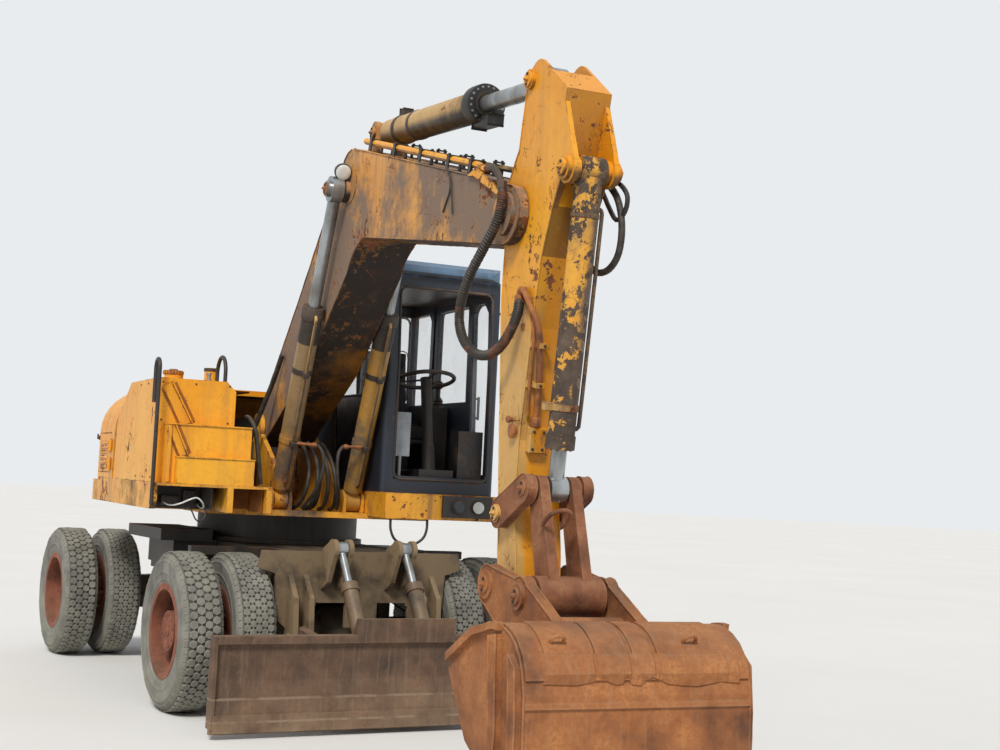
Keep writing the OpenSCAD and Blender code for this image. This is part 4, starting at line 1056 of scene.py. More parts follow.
# %% Boom nose
# A guard plate and the elbow fittings where the pipes end and the loop begins
nose = bmesh.new()
outline = [(3.76, 3.15), (3.84, 3.135), (4.14, 2.992), (4.19, 2.99), (4.1, 3.06), (3.86, 3.176)]
for flanks in ((-0.196, -0.1805), (0.1805, 0.196)):
    skin(nose, [[nose.verts.new(upper(x, y, z)) for x, z in outline] for y in flanks])
piece("boom_nose_guards", nose, "yellow_paint", "boom")
fittings = bmesh.new()
bent(fittings, ((3.93, -0.16, 3.158), (4.04, -0.186, 3.148), (4.14, -0.215, 3.125),
                (4.215, -0.216, 3.07), (4.262, -0.219, 3.01)), 18, 0.0175, 12)
for at, way, size in (((3.955, -0.16, 3.158), (1, -0.3, -0.05), 0.027),
                      ((4.263, -0.2185, 3.012), (0.3, -0.05, -1), 0.026),
                      ((3.87, -0.1125, 3.1785), (1, 0, -0.3), 0.018),
                      ((3.87, 0.14, 3.1785), (1, 0, -0.3), 0.022)):
    spun(fittings, [(size * 0.8, -0.026), (size, -0.022), (size, 0.016), (size * 0.86, 0.024)],
         stand(upper(*at), heading(*way)), 6)
piece("boom_nose_fittings", fittings, "machinery", "boom")
print("boom nose fitted")


# %% Fittings on the arm
arm_end = bmesh.new()
spun(arm_end, [(0.021, -0.024), (0.026, -0.02), (0.026, 0.014), (0.02, 0.02)],
     stand(upper(4.376, -0.1475, 2.446), heading(0.1, 0, 1)), 6)
block(arm_end, (4.352, -0.15, 2.425), (4.402, -0.1195, 2.445), UPPER, 0.004)
low_end = upper(*front_of_arm(1.845, 0.034, -0.058))
spun(arm_end, [(0.021, -0.02), (0.027, -0.016), (0.027, 0.022), (0.02, 0.028)],
     stand(low_end, upper(*front_of_arm(1.95, 0.034, -0.058)) - low_end), 6)
for x, z, size in ((4.345, 1.802, 0.036), (4.3, 1.86, 0.018)):
    spun(arm_end, [(size * 0.6, -0.004), (size * 0.6, 0.012), (size, 0.014), (size, 0.026), (size * 0.7, 0.031)],
         stand(upper(x, -0.12, z), heading(0, -1, 0)), 12)
block(arm_end, (4.358, -0.127, 2.293), (4.392, -0.119, 2.327), UPPER, 0.002)
piece("arm_pipe_ends", arm_end, "machinery", "arm", "old_pipe")
clips = bmesh.new()
clip_bolts = []
for z in (2.22, 2.03):
    lean = on_arm(z)
    blocks(clips, lean, ((0.0005, -0.118, -0.016), (0.012, -0.04, 0.016), 0.002),
           ((0.01, -0.092, -0.013), (0.062, -0.086, 0.013), 0.002),
           ((0.01, -0.048, -0.013), (0.062, -0.042, 0.013), 0.002),
           ((0.056, -0.094, -0.014), (0.063, -0.04, 0.014), 0.002))
    clip_bolts.append(spot(lean, (0.063, -0.067, 0), (1, 0, 0), (0, 0, 1)))
lean = on_arm(1.768)
block(clips, (0.0005, -0.082, -0.066), (0.048, 0.006, 0.062), lean, 0.006)
for y in (-0.064, -0.012):
    for z in (-0.044, 0.04):
        clip_bolts.append(spot(lean, (0.048, y, z), (1, 0, 0), (0, 0, 1)))
piece("arm_pipe_clips", clips, "yellow_paint", "arm", "arm_paint")
bolts("arm_clip_bolts", clip_bolts, "arm", 0.008)
print("nose and arm fittings made")


# %% Second loop, on the left of the arm
hose("curl_loop_hose", [(4.69, 0.146, 3.0), (4.755, 0.16, 2.925), (4.79, 0.168, 2.83), (4.8, 0.168, 2.73),
                        (4.775, 0.165, 2.64), (4.7, 0.16, 2.585), (4.61, 0.15, 2.58), (4.53, 0.14, 2.625)],
     0.017, "arm", steps=24)
pipe("curl_loop_pipe", [(4.5, 0.145, 3.06), (4.575, 0.165, 3.0), (4.66, 0.172, 2.89), (4.74, 0.172, 2.82),
                        (4.82, 0.17, 2.85), (4.842, 0.168, 2.915), (4.79, 0.165, 2.975), (4.7, 0.16, 3.02)],
     0.012, "arm", "machinery", "black_paint")
hose("feed_hose", [(4.47, 0.138, 2.7), (4.475, 0.16, 2.6), (4.47, 0.165, 2.48), (4.45, 0.16, 2.36),
                   (4.42, 0.14, 2.28)], 0.014, "arm", steps=18)
print("left loops hung")

# %% [markdown]
# ## Cylinders and pins
#
# A cylinder's gland is a bolted ring, and oil reaches it through a steel pipe clamped along
# the barrel. Each is measured from the cylinder's foot along its own axis, so one place
# serves for the ring, its screws and the pipe. Pins end in a cap with a grease nipple, held
# by two screws that stop it from turning.

# %% Cylinder dress
def beside(foot, head):
    """A cylinder's own frame: Z from foot to head, Y to the left of the machine."""
    way = Vector((head[0] - foot[0], 0, head[1] - foot[1])).normalized()
    turn = Matrix((Vector((way.z, 0, -way.x)), Vector((0, 1, 0)), way)).transposed().to_4x4()
    return standing(foot[0], 0, foot[1]) @ turn


CROWD = beside((1.95, 3.745), (4.34, 3.545))
CURL = beside((4.77, 3.03), (4.602, 1.83))
LIFT = beside((0.87, 1.365), (1.755, 3.385))


def ring_of_bolts(place, radius, height, count, phase=0.0):
    spots = []
    for k in range(count):
        out = polar(2 * math.pi * (k + phase) / count)
        spots.append(spot(place, out * radius + Vector((0, 0, height)), along=out))
    return spots


gland = bmesh.new()
lathe(gland, [(0.1106, 1.484), (0.114, 1.487), (0.114, 1.574), (0.1105, 1.58), (0.06, 1.58), (0.06, 1.5712),
              (0.1106, 1.5712)], CROWD, 48)
lathe(gland, [(0.074, 1.58), (0.076, 1.5805), (0.072, 1.592), (0.06, 1.594), (0.06, 1.5795)], CROWD, 40)
block(gland, (0.075, -0.038, 1.5), (0.128, 0.038, 1.72), CROWD, 0.01)
piece("crowd_gland", gland, "black_trim", "crowd_barrel", "black_paint", 35)
repeated("crowd_gland_bolts", ring_of_bolts(CROWD, 0.0955, 1.5795, 18), BOLT, "chrome_rod", "crowd_barrel", 0.0078)
foot_dress = bmesh.new()
lathe(foot_dress, [(0.0885, 0.3), (0.094, 0.303), (0.094, 0.342), (0.0885, 0.345)], CROWD, 40)
lathe(foot_dress, [(0.0885, 0.56), (0.092, 0.562), (0.092, 0.592), (0.0885, 0.594)], CROWD, 40)
block(foot_dress, (-0.125, -0.03, 0.29), (-0.084, 0.03, 0.35), CROWD, 0.006)
piece("crowd_bands", foot_dress, "black_trim", "crowd_barrel", "dark_steel", 35)
print("crowd cylinder dressed")


# %% Boom cylinders
lift_rings = bmesh.new()
lift_pipes = bmesh.new()
lift_spots = []
for side in (-1, 1):
    own = LIFT @ Matrix.Translation((0, side * 0.262, 0))
    lathe(lift_rings, [(0.0745, 1.318), (0.077, 1.32), (0.077, 1.398), (0.074, 1.4035), (0.046, 1.4035),
                       (0.046, 1.4002), (0.0745, 1.4002)], own, 32)
    lathe(lift_rings, [(0.0664, 0.93), (0.07, 0.932), (0.07, 0.968), (0.0664, 0.97)], own, 32)
    lathe(lift_rings, [(0.0664, 1.15), (0.0688, 1.152), (0.0688, 1.31), (0.0664, 1.312)], own, 32)
    lift_spots += ring_of_bolts(own, 0.0605, 1.403, 10)
    line = [own @ Vector(p) for p in ((0.06, 0, 0.15), (0.088, 0, 0.16), (0.094, 0, 0.22), (0.094, 0, 0.6),
                                      (0.094, 0, 1.0), (0.094, 0, 1.29), (0.09, 0, 1.345), (0.066, 0, 1.36))]
    tube(lift_pipes, spline(line, 40), 0.0105, 10)
    for d in (0.45, 0.95):
        block(lift_rings, (0.062, -0.02, d - 0.016), (0.112, 0.02, d + 0.016), own, 0.003)
piece("lift_glands", lift_rings, "yellow_paint", "lift_barrels", "dark_steel", 35)
piece("lift_pipes", lift_pipes, "yellow_paint", "lift_barrels", "tan_barrel_paint", 35)
bolts("lift_gland_bolts", lift_spots, "lift_barrels", 0.0066)
print("boom cylinders dressed")


# %% Bucket cylinder
curl_rings = bmesh.new()
lathe(curl_rings, [(0.0664, 1.105), (0.0705, 1.107), (0.0705, 1.137), (0.0664, 1.139)], CURL, 40)
block(curl_rings, (-0.01, -0.1, 1.104), (0.032, -0.066, 1.14), CURL, 0.003)
lathe(curl_rings, [(0.0664, 0.2), (0.069, 0.202), (0.069, 0.222), (0.0664, 0.224)], CURL, 40)
piece("curl_bands", curl_rings, "yellow_paint", "curl_barrel", "tan_barrel_paint", 35)
bolts("curl_gland_bolts", ring_of_bolts(CURL, 0.0585, 1.3203, 10), "curl_barrel", 0.0062)
pipe("curl_side_pipe", [tuple(UPPER.inverted() @ (CURL @ Vector(p))) for p in (
    (0.0, 0.06, 0.17), (0.0, 0.086, 0.185), (0.0, 0.09, 0.26), (0.0, 0.09, 0.7), (0.0, 0.09, 1.16),
    (0.0, 0.084, 1.215), (0.0, 0.064, 1.225))], 0.01, "curl_barrel", "yellow_paint", "flaked_paint", steps=30)
print("cylinders dressed with", 18 + len(lift_spots) + 10, "gland bolts")


# %% Pins
PINS = {"boom": [((4.24, 2.88), 0.2045, 0.056), ((1.95, 3.745), 0.1, 0.04)],
        "lift_rods": [((1.755, 3.385), 0.329, 0.042)],
        "arm": [((4.34, 3.545), 0.138, 0.042), ((4.77, 3.03), 0.148, 0.042), ((4.285, 1.4), 0.182, 0.04)],
        "guide_links": [((4.56, 1.53), 0.172, 0.038)],
        "bucket": [((4.35, 1.06), 0.249, 0.044), ((4.715, 1.035), 0.255, 0.04)],
        "upper": [((0.87, 1.365), 0.338, 0.04)]}
CAP_FINISH = {"boom": "boom_paint", "lift_rods": "linkage_steel", "arm": "arm_paint",
              "guide_links": "linkage_steel", "bucket": "rusted_steel", "upper": "frame_paint"}
caps = 0
for body, pins in PINS.items():
    bm, keeper_bolts = bmesh.new(), []
    for (x, z), face, radius in pins:
        for side in (-1, 1):
            place = stand(upper(x, side * (face - 0.0006), z), heading(0, side, 0))
            spun(bm, [(radius, 0), (radius, 0.0065), (radius - 0.004, 0.01), (0.014, 0.01), (0.013, 0.018),
                      (0.008, 0.02), (0.0075, 0.027), (0.004, 0.03)], place, 28)
            for lean in (0.6, 0.6 + math.pi):
                out = polar(lean) * (radius * 0.62)
                keeper_bolts.append(spot(place, out + Vector((0, 0, 0.0095)), along=out))
            caps += 1
    piece(f"pin_caps_{body}", bm, "yellow_paint" if body in ("boom", "arm", "upper") else "rusted_steel", body,
          CAP_FINISH[body], 40)
    bolts(f"pin_bolts_{body}", keeper_bolts, body, 0.0085)
print("pin caps", caps)


# %% [markdown]
# ## Weld seams
#
# The boom, arm, bucket and guide links are made of plate, and a fillet weld runs along each
# corner where two plates meet. The corners are found on the CAD mesh itself: an edge where
# a side plate meets a plate across it. Chained edges make one run, and the bead is a thin
# uneven bar laid in each run.

# %% Weld finder
MOST_TURN = 50  # degrees between two edges of one run


def drawing_of(node):
    """A node's CAD mesh, in the rest frame."""
    bm = bmesh.new()
    bm.from_mesh(NODES[node].data)
    bm.transform(NODES[node].matrix_world)
    return bm


def corner_runs(node, side_way):
    """Chains of edges where a face along side_way meets a face square to it."""
    bm = drawing_of(node)
    bmesh.ops.remove_doubles(bm, verts=bm.verts, dist=1e-5)
    picked = {}  # a dict keeps its order, so each run of the script lays the same beads
    for edge in bm.edges:
        if len(edge.link_faces) != 2 or not edge.is_convex:
            continue
        a, b = (abs(f.normal.dot(side_way)) for f in edge.link_faces)
        if max(a, b) > 0.98 and min(a, b) < 0.1:
            picked[edge] = True
    runs = []
    while picked:
        edge, _ = picked.popitem()
        chain = [edge.verts[0], edge.verts[1]]
        for end in (0, 1):
            while True:
                tip, before = (chain[-1], chain[-2]) if end else (chain[0], chain[1])
                way = (tip.co - before.co).normalized()
                after = [e for e in tip.link_edges if e in picked]
                after = [e for e in after
                         if math.degrees(way.angle(e.other_vert(tip).co - tip.co)) < MOST_TURN]
                if not after:
                    break
                del picked[after[0]]
                other = after[0].other_vert(tip)
                chain = chain + [other] if end else [other] + chain
        runs.append([v.co.copy() for v in chain])
    bm.free()
    return runs


def lay_weld(node, shortest, radius, finish, outer):
    """Beads along the corners of a node that lie at least outer from the middle, a little uneven."""
    random.seed(1)
    bm, laid = bmesh.new(), 0.0
    for run in corner_runs(node, heading(0, 1, 0)):
        length = sum((b - a).length for a, b in zip(run, run[1:]))
        if length < shortest or min(abs((UPPER.inverted() @ p).y) for p in run) < outer:
            continue
        closed = (run[0] - run[-1]).length < 0.02
        path = []
        for a, b in zip(run, run[1:]):
            cuts = max(1, int((b - a).length / 0.05))
            path += [a.lerp(b, k / cuts) for k in range(cuts)]
        if not closed:
            path.append(run[-1])
        if len(path) < 3:
            continue
        tube(bm, path, [radius * random.uniform(0.8, 1.2) for _ in path], 6)
        laid += length
    piece(f"welds_{node}", bm, SLOT_OF[node], node, finish, 70)
    return laid


for node, shortest, radius, finish, outer in (("boom", 1.0, 0.0055, "boom_paint", 0.17),
                                              ("arm", 0.9, 0.005, "arm_paint", 0.11),
                                              ("bucket", 0.7, 0.006, "rusted_steel", 0.0),
                                              ("guide_links", 0.5, 0.0035, "linkage_steel", 0.0)):
    print("weld on", node, round(lay_weld(node, shortest, radius, finish, outer), 1), "m")

# %% [markdown]
# ## Upper body: bay, steps, lamps and louvres
#
# The front bay under the tank has lost its cover, so its dark inside and a few loose wires
# show. The steps are folded sheet with stiffening bars, and the tank's filler has a ribbed
# cap. Slotted louvres let air through the engine doors. Where a surface is rounded, a ray
# finds the place on it.

# %% Finding a surface
def surface_of(node):
    bm = drawing_of(node)
    found = BVHTree.FromBMesh(bm)
    bm.free()
    return found


def touch(tree, start, way):
    """Where a ray in the upper body's frame meets a node, and the direction that faces out there."""
    place, normal, _, _ = tree.ray_cast(upper(*start), heading(*way))
    return place, normal


print("surface helper ready")

# %% Front bay
lining = bmesh.new()
blocks(lining, UPPER, ((1.003, -1.168, 1.276), (1.012, -0.842, 1.426), 0.002),
       ((1.004, -0.8475, 1.276), (1.335, -0.8415, 1.428), 0.002))
# Painted shade: darker orange sheets line the recess beside the bay, where its inside lies in shade.
recess_shade = bmesh.new()
blocks(recess_shade, UPPER, ((1.003, -0.8, 1.276), (1.008, -0.512, 1.438), 0.001),
       ((1.004, -0.5145, 1.276), (1.34, -0.5095, 1.438), 0.001),
       ((1.004, -0.8, 1.4375), (1.34, -0.512, 1.4415), 0.001))
piece("recess_lining", recess_shade, "yellow_paint", "upper", "shaded_paint")
blocks(lining, UPPER, ((1.012, -1.12, 1.3), (1.1, -1.0, 1.36), 0.012),
       ((1.012, -0.97, 1.29), (1.07, -0.88, 1.4), 0.01))
piece("bay_lining", lining, "black_trim", "upper")
hose("bay_wire_pale", [(1.022, -1.11, 1.34), (1.14, -1.1, 1.31), (1.25, -1.08, 1.303), (1.345, -1.045, 1.318),
                       (1.375, -0.995, 1.345), (1.378, -0.95, 1.357), (1.365, -0.912, 1.33),
                       (1.3, -0.885, 1.296), (1.16, -0.875, 1.29), (1.022, -0.87, 1.315)], 0.0055, "upper",
     finish="pale_lens", steps=30)
hose("bay_wire_dark", [(1.022, -0.995, 1.33), (1.1, -0.992, 1.3), (1.22, -0.988, 1.284), (1.32, -0.982, 1.29),
                       (1.385, -0.975, 1.262), (1.402, -0.962, 1.228), (1.404, -0.94, 1.21),
                       (1.398, -0.908, 1.222), (1.375, -0.888, 1.258), (1.3, -0.875, 1.285), (1.17, -0.865, 1.29),
                       (1.022, -0.86, 1.33)], 0.005, "upper", steps=34)
print("bay lined")


# %% Steps
bars, shade = bmesh.new(), bmesh.new()
for (x, y0, z0, y1, z1, wide) in ((1.2005, -1.15, 2.085, -1.01, 1.832, 0.075),
                                  (1.3205, -1.128, 1.808, -1.04, 1.622, 0.055)):
    way = Vector((0, y1 - y0, z1 - z0)).normalized()
    length = math.hypot(y1 - y0, z1 - z0)
    turn = Matrix((Vector((1, 0, 0)), way.cross(Vector((1, 0, 0))), way)).transposed().to_4x4()
    lean = standing(x, y0, z0) @ turn
    blocks(bars, lean, ((0, -wide / 2, 0), (0.012, wide / 2, length), 0.002),
           ((0.01, -wide / 2, 0), (0.034, -wide / 2 + 0.01, length), 0.002))
    for low_y, high_y in ((wide / 2, wide / 2 + 0.014), (-wide / 2 - 0.024, -wide / 2)):
        block(shade, (0.0005, low_y, 0.015), (0.0035, high_y, length - 0.004), lean, 0.001)
blocks(bars, UPPER, ((1.196, -1.152, 1.8195), (1.33, -0.598, 1.8275), 0.002),
       ((1.318, -1.097, 1.6095), (1.402, -0.588, 1.6175), 0.002),
       ((1.33, -1.15, 1.45), (1.342, -1.128, 1.815), 0.002))
piece("step_bars", bars, "yellow_paint", "upper")
piece("step_bar_shadows", shade, "yellow_paint", "upper", "shaded_paint")
treads = [spot(UPPER, (x, y, z), along=(1, 0.4 if k % 2 else -0.4, 0)) for x, z, y0,
          y1 in ((1.235, 1.8272, -1.13, -0.62), (1.285, 1.8272, -1.13, -0.62), (1.365, 1.6172, -1.07, -0.61)) for k,
          y in enumerate(y0 + (y1 - y0) * i / 16 for i in range(17))]
TREAD = pattern_shape("tread_shape", lambda bm: block(bm, (-0.016, -0.0035, -0.001), (0.016, 0.0035, 0.0025),
                                                      HOME, 0.0012))
repeated("step_treads", treads, TREAD, "yellow_paint", "upper")
print("steps barred")


# %% Tank fittings
cap = bmesh.new()
spun(cap, [(0.066, 0.0), (0.068, 0.004), (0.068, 0.022), (0.061, 0.027), (0.03, 0.029), (0.028, 0.036),
           (0.012, 0.038)], standing(0.97, -1.064, 2.1605), 28)
piece("filler_cap", cap, "yellow_paint", "upper", "old_pipe", 30)
ribs = [spot(UPPER, (0.97 + 0.068 * math.cos(a), -1.064 + 0.068 * math.sin(a), 2.172), polar(a), (0, 0, 1))
        for a in full_turn(20)]
repeated("filler_ribs", ribs, TREAD, "yellow_paint", "upper", 0.55)
seam_bolts = [spot(UPPER, (1.2004, y, z), (1, 0, 0), (0, 0, 1))
              for y in (-1.175, -0.96, -0.735) for z in (2.095, 1.85)]
seam_bolts += [spot(UPPER, (x, -1.2004, z), (0, -1, 0), (0, 0, 1)) for x in (0.62, 0.86, 1.1)
               for z in (1.475, 2.095)]
bolts("tank_bolts", seam_bolts, "upper", 0.0065)
small_stub = bmesh.new()
spun(small_stub, [(0.02, 0), (0.02, 0.012), (0.013, 0.014), (0.013, 0.04), (0.018, 0.042), (0.018, 0.055)],
     standing(1.12, -0.86, 2.1245), 16)
piece("tank_breather", small_stub, "black_trim", "upper", "steel_bright", 35)
print("bay and steps dressed,", len(treads), "tread bars")

# %% Louvres and latches
def draw_louvre(bm):
    """A pressed slot 0.30 m long: a sheet tongue bent out at its lower edge."""
    half, rows = 0.15, ((0.0, 0.01), (0.0035, 0.002), (0.01, -0.009), (0.011, -0.0115), (0.0, -0.01))
    skin(bm, [[bm.verts.new((x, z, y)) for y, z in rows] for x in (-half, half)])


LOUVRE = pattern_shape("louvre_shape", draw_louvre)
for door, body, side, middle in (("side_door_right", "door_right", -1, -0.62),
                                 ("side_door_left", "door_left", 1, -0.785)):
    tree, spots, latch = surface_of(door), [], bmesh.new()
    for k in range(6):
        at, out = touch(tree, (middle, side * 1.5, 1.53 + 0.036 * k), (0, -side, 0))
        spots.append((at, out, heading(1, 0, 0)))
    repeated(f"louvres_{body}", spots, LOUVRE, "yellow_paint", body, 1.0 if side < 0 else 0.72)
    at, out = touch(tree, (middle - 0.26 if side < 0 else middle - 0.12, side * 1.5, 1.745), (0, -side, 0))
    place = stand(at, out)
    spun(latch, [(0.019, -0.001), (0.019, 0.006), (0.012, 0.009), (0.012, 0.014)], place, 20)
    block(latch, (-0.006, -0.03, 0.013), (0.006, 0.008, 0.019), place, 0.003)
    piece(f"latch_{body}", latch, "black_trim", body, angle=35)
slats = [spot(UPPER, (x0 + step * k, -0.27, 2.1395), along=(0, 1, 0))
         for x0, step, count in ((-0.93, 0.055, 5), (-0.42, 0.05, 3)) for k in range(count)]
repeated("hood_slats", slats, LOUVRE, "yellow_paint", "hood", 1.6)
muffler = bmesh.new()
own = standing(-0.62, -0.42, 0)
lathe(muffler, [(0.0552, 2.15), (0.062, 2.152), (0.062, 2.162), (0.0552, 2.164)], own, 28)
lathe(muffler, [(0.0552, 2.3), (0.059, 2.302), (0.059, 2.3265), (0.047, 2.3265), (0.047, 2.3245),
                (0.0552, 2.3245)], own, 28)
piece("exhaust_rings", muffler, "rusted_steel", "hood", "dark_steel", 35)
print("louvres and exhaust made")


# %% Lamps
weight = surface_of("counterweight")
lamps_bm, lenses = bmesh.new(), {"red_lens": bmesh.new(), "orange_lens": bmesh.new()}
for side in (-1, 1):
    for lens, up_z in (("red_lens", 1.5), ("orange_lens", 1.59)):
        at, out = touch(weight, (-3.0, side * 0.62, up_z), (1, 0, 0))
        place = stand(at, out)
        spun(lamps_bm, [(0.046, -0.004), (0.046, 0.012), (0.042, 0.014)], place, 28)
        spun(lenses[lens], [(0.038, 0.0135), (0.038, 0.024), (0.03, 0.03), (0.012, 0.033)], place, 28)
piece("tail_lamp_cases", lamps_bm, "black_trim", "upper", angle=35)
for lens, bm in lenses.items():
    piece("tail_" + lens, bm, "glass", "upper", lens, 60)
front_lens = {"pale_lens": bmesh.new(), "dark_lens": bmesh.new()}
for lens, y in (("dark_lens", 0.87), ("pale_lens", 1.02)):
    spun(front_lens[lens], [(0.041, -0.001), (0.041, 0.004), (0.03, 0.009), (0.01, 0.0105)],
         stand(upper(1.393, y, 1.365), heading(1, 0, 0)), 28)
for lens, bm in front_lens.items():
    piece("front_" + lens, bm, "glass", "upper", lens, 60)
print("louvres, slats and lamps made")


# %% Hoses at the boom's foot
for number, (dx, dy) in enumerate(((0.0, 0.0), (-0.075, 0.02))):
    line = [(1.12, -0.59, 1.905), (1.166, -0.582, 1.896), (1.205, -0.572, 1.87), (1.231, -0.56, 1.831),
            (1.24, -0.548, 1.785), (1.24, -0.53, 1.67), (1.24, -0.512, 1.56), (1.24, -0.5, 1.46)]
    hose(f"tank_hose_{number}", [(x + dx, y + dy, z) for x, y, z in line], 0.0145, "upper", steps=30)
hose("deck_loom", [(1.32, 0.4, 1.268), (1.324, 0.405, 1.19), (1.328, 0.44, 1.125), (1.33, 0.51, 1.097),
                   (1.33, 0.585, 1.103), (1.328, 0.645, 1.145), (1.324, 0.668, 1.205), (1.32, 0.67, 1.268)],
     0.009, "upper", steps=28)
for number, y in enumerate((-0.215, 0.215)):
    side = -1 if y < 0 else 1
    hose(f"foot_hose_{number}", [(0.16, 0.36 * side, 1.5), (0.22, 0.345 * side, 1.66), (0.3, 0.31 * side, 1.84),
                                 (0.38, 0.27 * side, 2.02), (0.46, 0.23 * side, 2.2), (0.56, 0.205 * side, 2.38)],
         0.018, ("upper", "boom"), steps=24, span=((0.24, 0.33 * side, 1.7), (0.5, 0.21 * side, 2.3)))
stubs = bmesh.new()
for side in (-1, 1):
    line = [(1.112, 0.262 * side, 1.75), (1.134, 0.215 * side, 1.747), (1.14, 0.165 * side, 1.744),
            (1.14, 0.105 * side, 1.742)]
    bent(stubs, line, 14, 0.0105, 10)
    spun(stubs, [(0.015, -0.016), (0.018, -0.013), (0.018, 0.01), (0.014, 0.016)],
         stand(upper(1.14, 0.112 * side, 1.742), heading(0, -side, 0)), 6)
    hose(f"lift_hose_{side + 1}", [(1.142, 0.092 * side, 1.742), (1.158, 0.06 * side, 1.7),
                                   (1.17, 0.048 * side, 1.62), (1.16, 0.06 * side, 1.52),
                                   (1.12, 0.085 * side, 1.43), (1.055, 0.11 * side, 1.36),
                                   (0.985, 0.125 * side, 1.31)], 0.0125, ("upper", "lift_barrels"), steps=24,
         span=((1.06, 0.08 * side, 1.38), (1.15, 0.08 * side, 1.7)))
piece("lift_stubs", stubs, "yellow_paint", "lift_barrels", "old_pipe")
for number, (x, y) in enumerate(((0.9, -0.115), (0.93, -0.05), (0.95, 0.03), (0.91, 0.105), (0.84, 0.0))):
    hose(f"bay_hose_{number}", [(x - 0.1, y * 1.25, 1.3), (x + 0.02, y * 1.15, 1.33), (x + 0.1, y, 1.42),
                                (x + 0.11, y * 0.85, 1.53), (x + 0.05, y * 0.75, 1.63),
                                (x - 0.06, y * 0.7, 1.71), (x - 0.18, y * 0.7, 1.76)], 0.0145, ("upper", "boom"),
         steps=24, span=((x + 0.1, y, 1.42), (x - 0.06, y * 0.7, 1.71)))
print("foot hoses hung")


# %% Wires and lamp on the boom
hose("boom_wire_a", [(3.405, -0.172, 3.262), (3.44, -0.186, 3.245), (3.482, -0.188, 3.215), (3.512, -0.188, 3.16),
                     (3.508, -0.188, 3.105), (3.472, -0.188, 3.06), (3.428, -0.188, 3.005)], 0.005, "boom",
     steps=24)
hose("boom_wire_b", [(3.418, -0.176, 3.258), (3.47, -0.189, 3.232), (3.522, -0.19, 3.16), (3.545, -0.19, 3.07),
                     (3.566, -0.188, 2.975)], 0.005, "boom", steps=20)
lamp = bmesh.new()
way = heading(0.93, -0.05, -0.36)
place = stand(upper(1.8, -0.24, 3.5), way)
spun(lamp, [(0.018, -0.045), (0.04, -0.036), (0.052, -0.01), (0.056, 0.018), (0.056, 0.03), (0.05, 0.032)],
     place, 30)
blocks(lamp, UPPER, ((1.77, -0.232, 3.47), (1.8, -0.1795, 3.476), 0.001),
       ((1.772, -0.24, 3.44), (1.798, -0.232, 3.48), 0.002))
piece("boom_lamp", lamp, "black_trim", "boom", "black_paint", 35)
glass_bm = bmesh.new()
spun(glass_bm, [(0.05, 0.0318), (0.048, 0.036), (0.03, 0.041), (0.01, 0.043)], place, 30)
piece("boom_lamp_lens", glass_bm, "glass", "boom", "pale_lens", 60)
print("foot hoses, wires and lamp made")


# %% Shackle and lifting staples
hooks = bmesh.new()
bent(hooks, ((4.69, -0.125, 1.36), (4.745, -0.125, 1.4), (4.785, -0.11, 1.425),
             (4.8, -0.07, 1.435), (4.785, -0.03, 1.425), (4.745, -0.015, 1.4),
             (4.69, -0.015, 1.36)), 24, 0.011, 10)
piece("link_shackle", hooks, "rusted_steel", "bucket_link", "linkage_steel")
bucket_skin = surface_of("bucket")
staples = bmesh.new()
for y in (-0.37, 0.27):
    at, out = touch(bucket_skin, (6.0, y, 0.9), (-1, 0, 0))
    across = heading(0, 1, 0)
    ring = [at + across * s * 0.03 + out * h for s, h in ((-1, -0.006), (-1, 0.02), (-0.6, 0.036), (0, 0.041),
                                                          (0.6, 0.036), (1, 0.02), (1, -0.006))]
    tube(staples, spline(ring, 20), 0.008, 8)
piece("bucket_staples", staples, "rusted_steel", "bucket")
print("shackle and staples made")


# %% Patch plate
PATCH_EDGE = [(-0.48, 0.741), (-0.308, 0.735), (-0.251, 0.743), (-0.203, 0.752), (-0.161, 0.75), (-0.119, 0.735),
              (-0.081, 0.739), (-0.066, 0.77), (-0.043, 0.736), (0.0, 0.73), (0.049, 0.767), (0.087, 0.757),
              (0.132, 0.736), (0.215, 0.728), (0.275, 0.725), (0.331, 0.732), (0.398, 0.744), (0.515, 0.734)]


def patch_edge(y):
    """Height of the patch plate's torn lower edge at some place across the bucket."""
    for (y0, z0), (y1, z1) in zip(PATCH_EDGE, PATCH_EDGE[1:]):
        if y <= y1:
            return z0 + (z1 - z0) * (y - y0) / (y1 - y0)
    return PATCH_EDGE[-1][1]


patch, columns = bmesh.new(), []
for k in range(91):
    y = -0.46 + 0.96 * k / 90
    top, top_out = touch(bucket_skin, (6.0, y, 0.778), (-1, 0, 0))
    low, _ = touch(bucket_skin, (6.0, y, patch_edge(y) - 0.003), (-1, 0, 0))
    rows = [touch(bucket_skin, (6.0, y, z), (-1, 0, 0)) for z in (0.862, 0.852, 0.835, 0.815, 0.795)]
    rows += [(top.lerp(low, t), top_out) for t in (0, 0.25, 0.5, 0.75, 0.98, 1.0)]
    column = []
    for j, (at, out) in enumerate(rows):
        sunk = j in (0, 10) or k in (0, 90)
        column.append(patch.verts.new(at + out * (-0.001 if sunk else 0.0085)))
    columns.append(column)
for left, right in zip(columns, columns[1:]):
    for j in range(10):
        patch.faces.new((left[j], left[j + 1], right[j + 1], right[j]))
piece("bucket_patch", patch, "rusted_steel", "bucket")
print("patch plate of", len(PATCH_EDGE), "corners")

# %% [markdown]
# ## Cab fittings
#
# Window openings are closed by a rubber section that grips the sheet's edge, a rain gutter
# runs round the roof, and the controls stand on rubber boots. Each seal is one round bar
# laid along the opening's outline, with its corners eased.

# %% Seals and gutter
def eased(corners, cut=0.05):
    """The closed outline as a path with each corner replaced by three points on a small curve."""
    pts, out = [Vector(c) for c in corners], []
    for k, corner in enumerate(pts):
        before = (pts[k - 1] - corner).normalized() * cut
        after = (pts[(k + 1) % len(pts)] - corner).normalized() * cut
        out += [corner + before, corner + (before + after) * 0.29, corner + after]
    return out + [out[0] + (out[1] - out[0]) * 0.01]


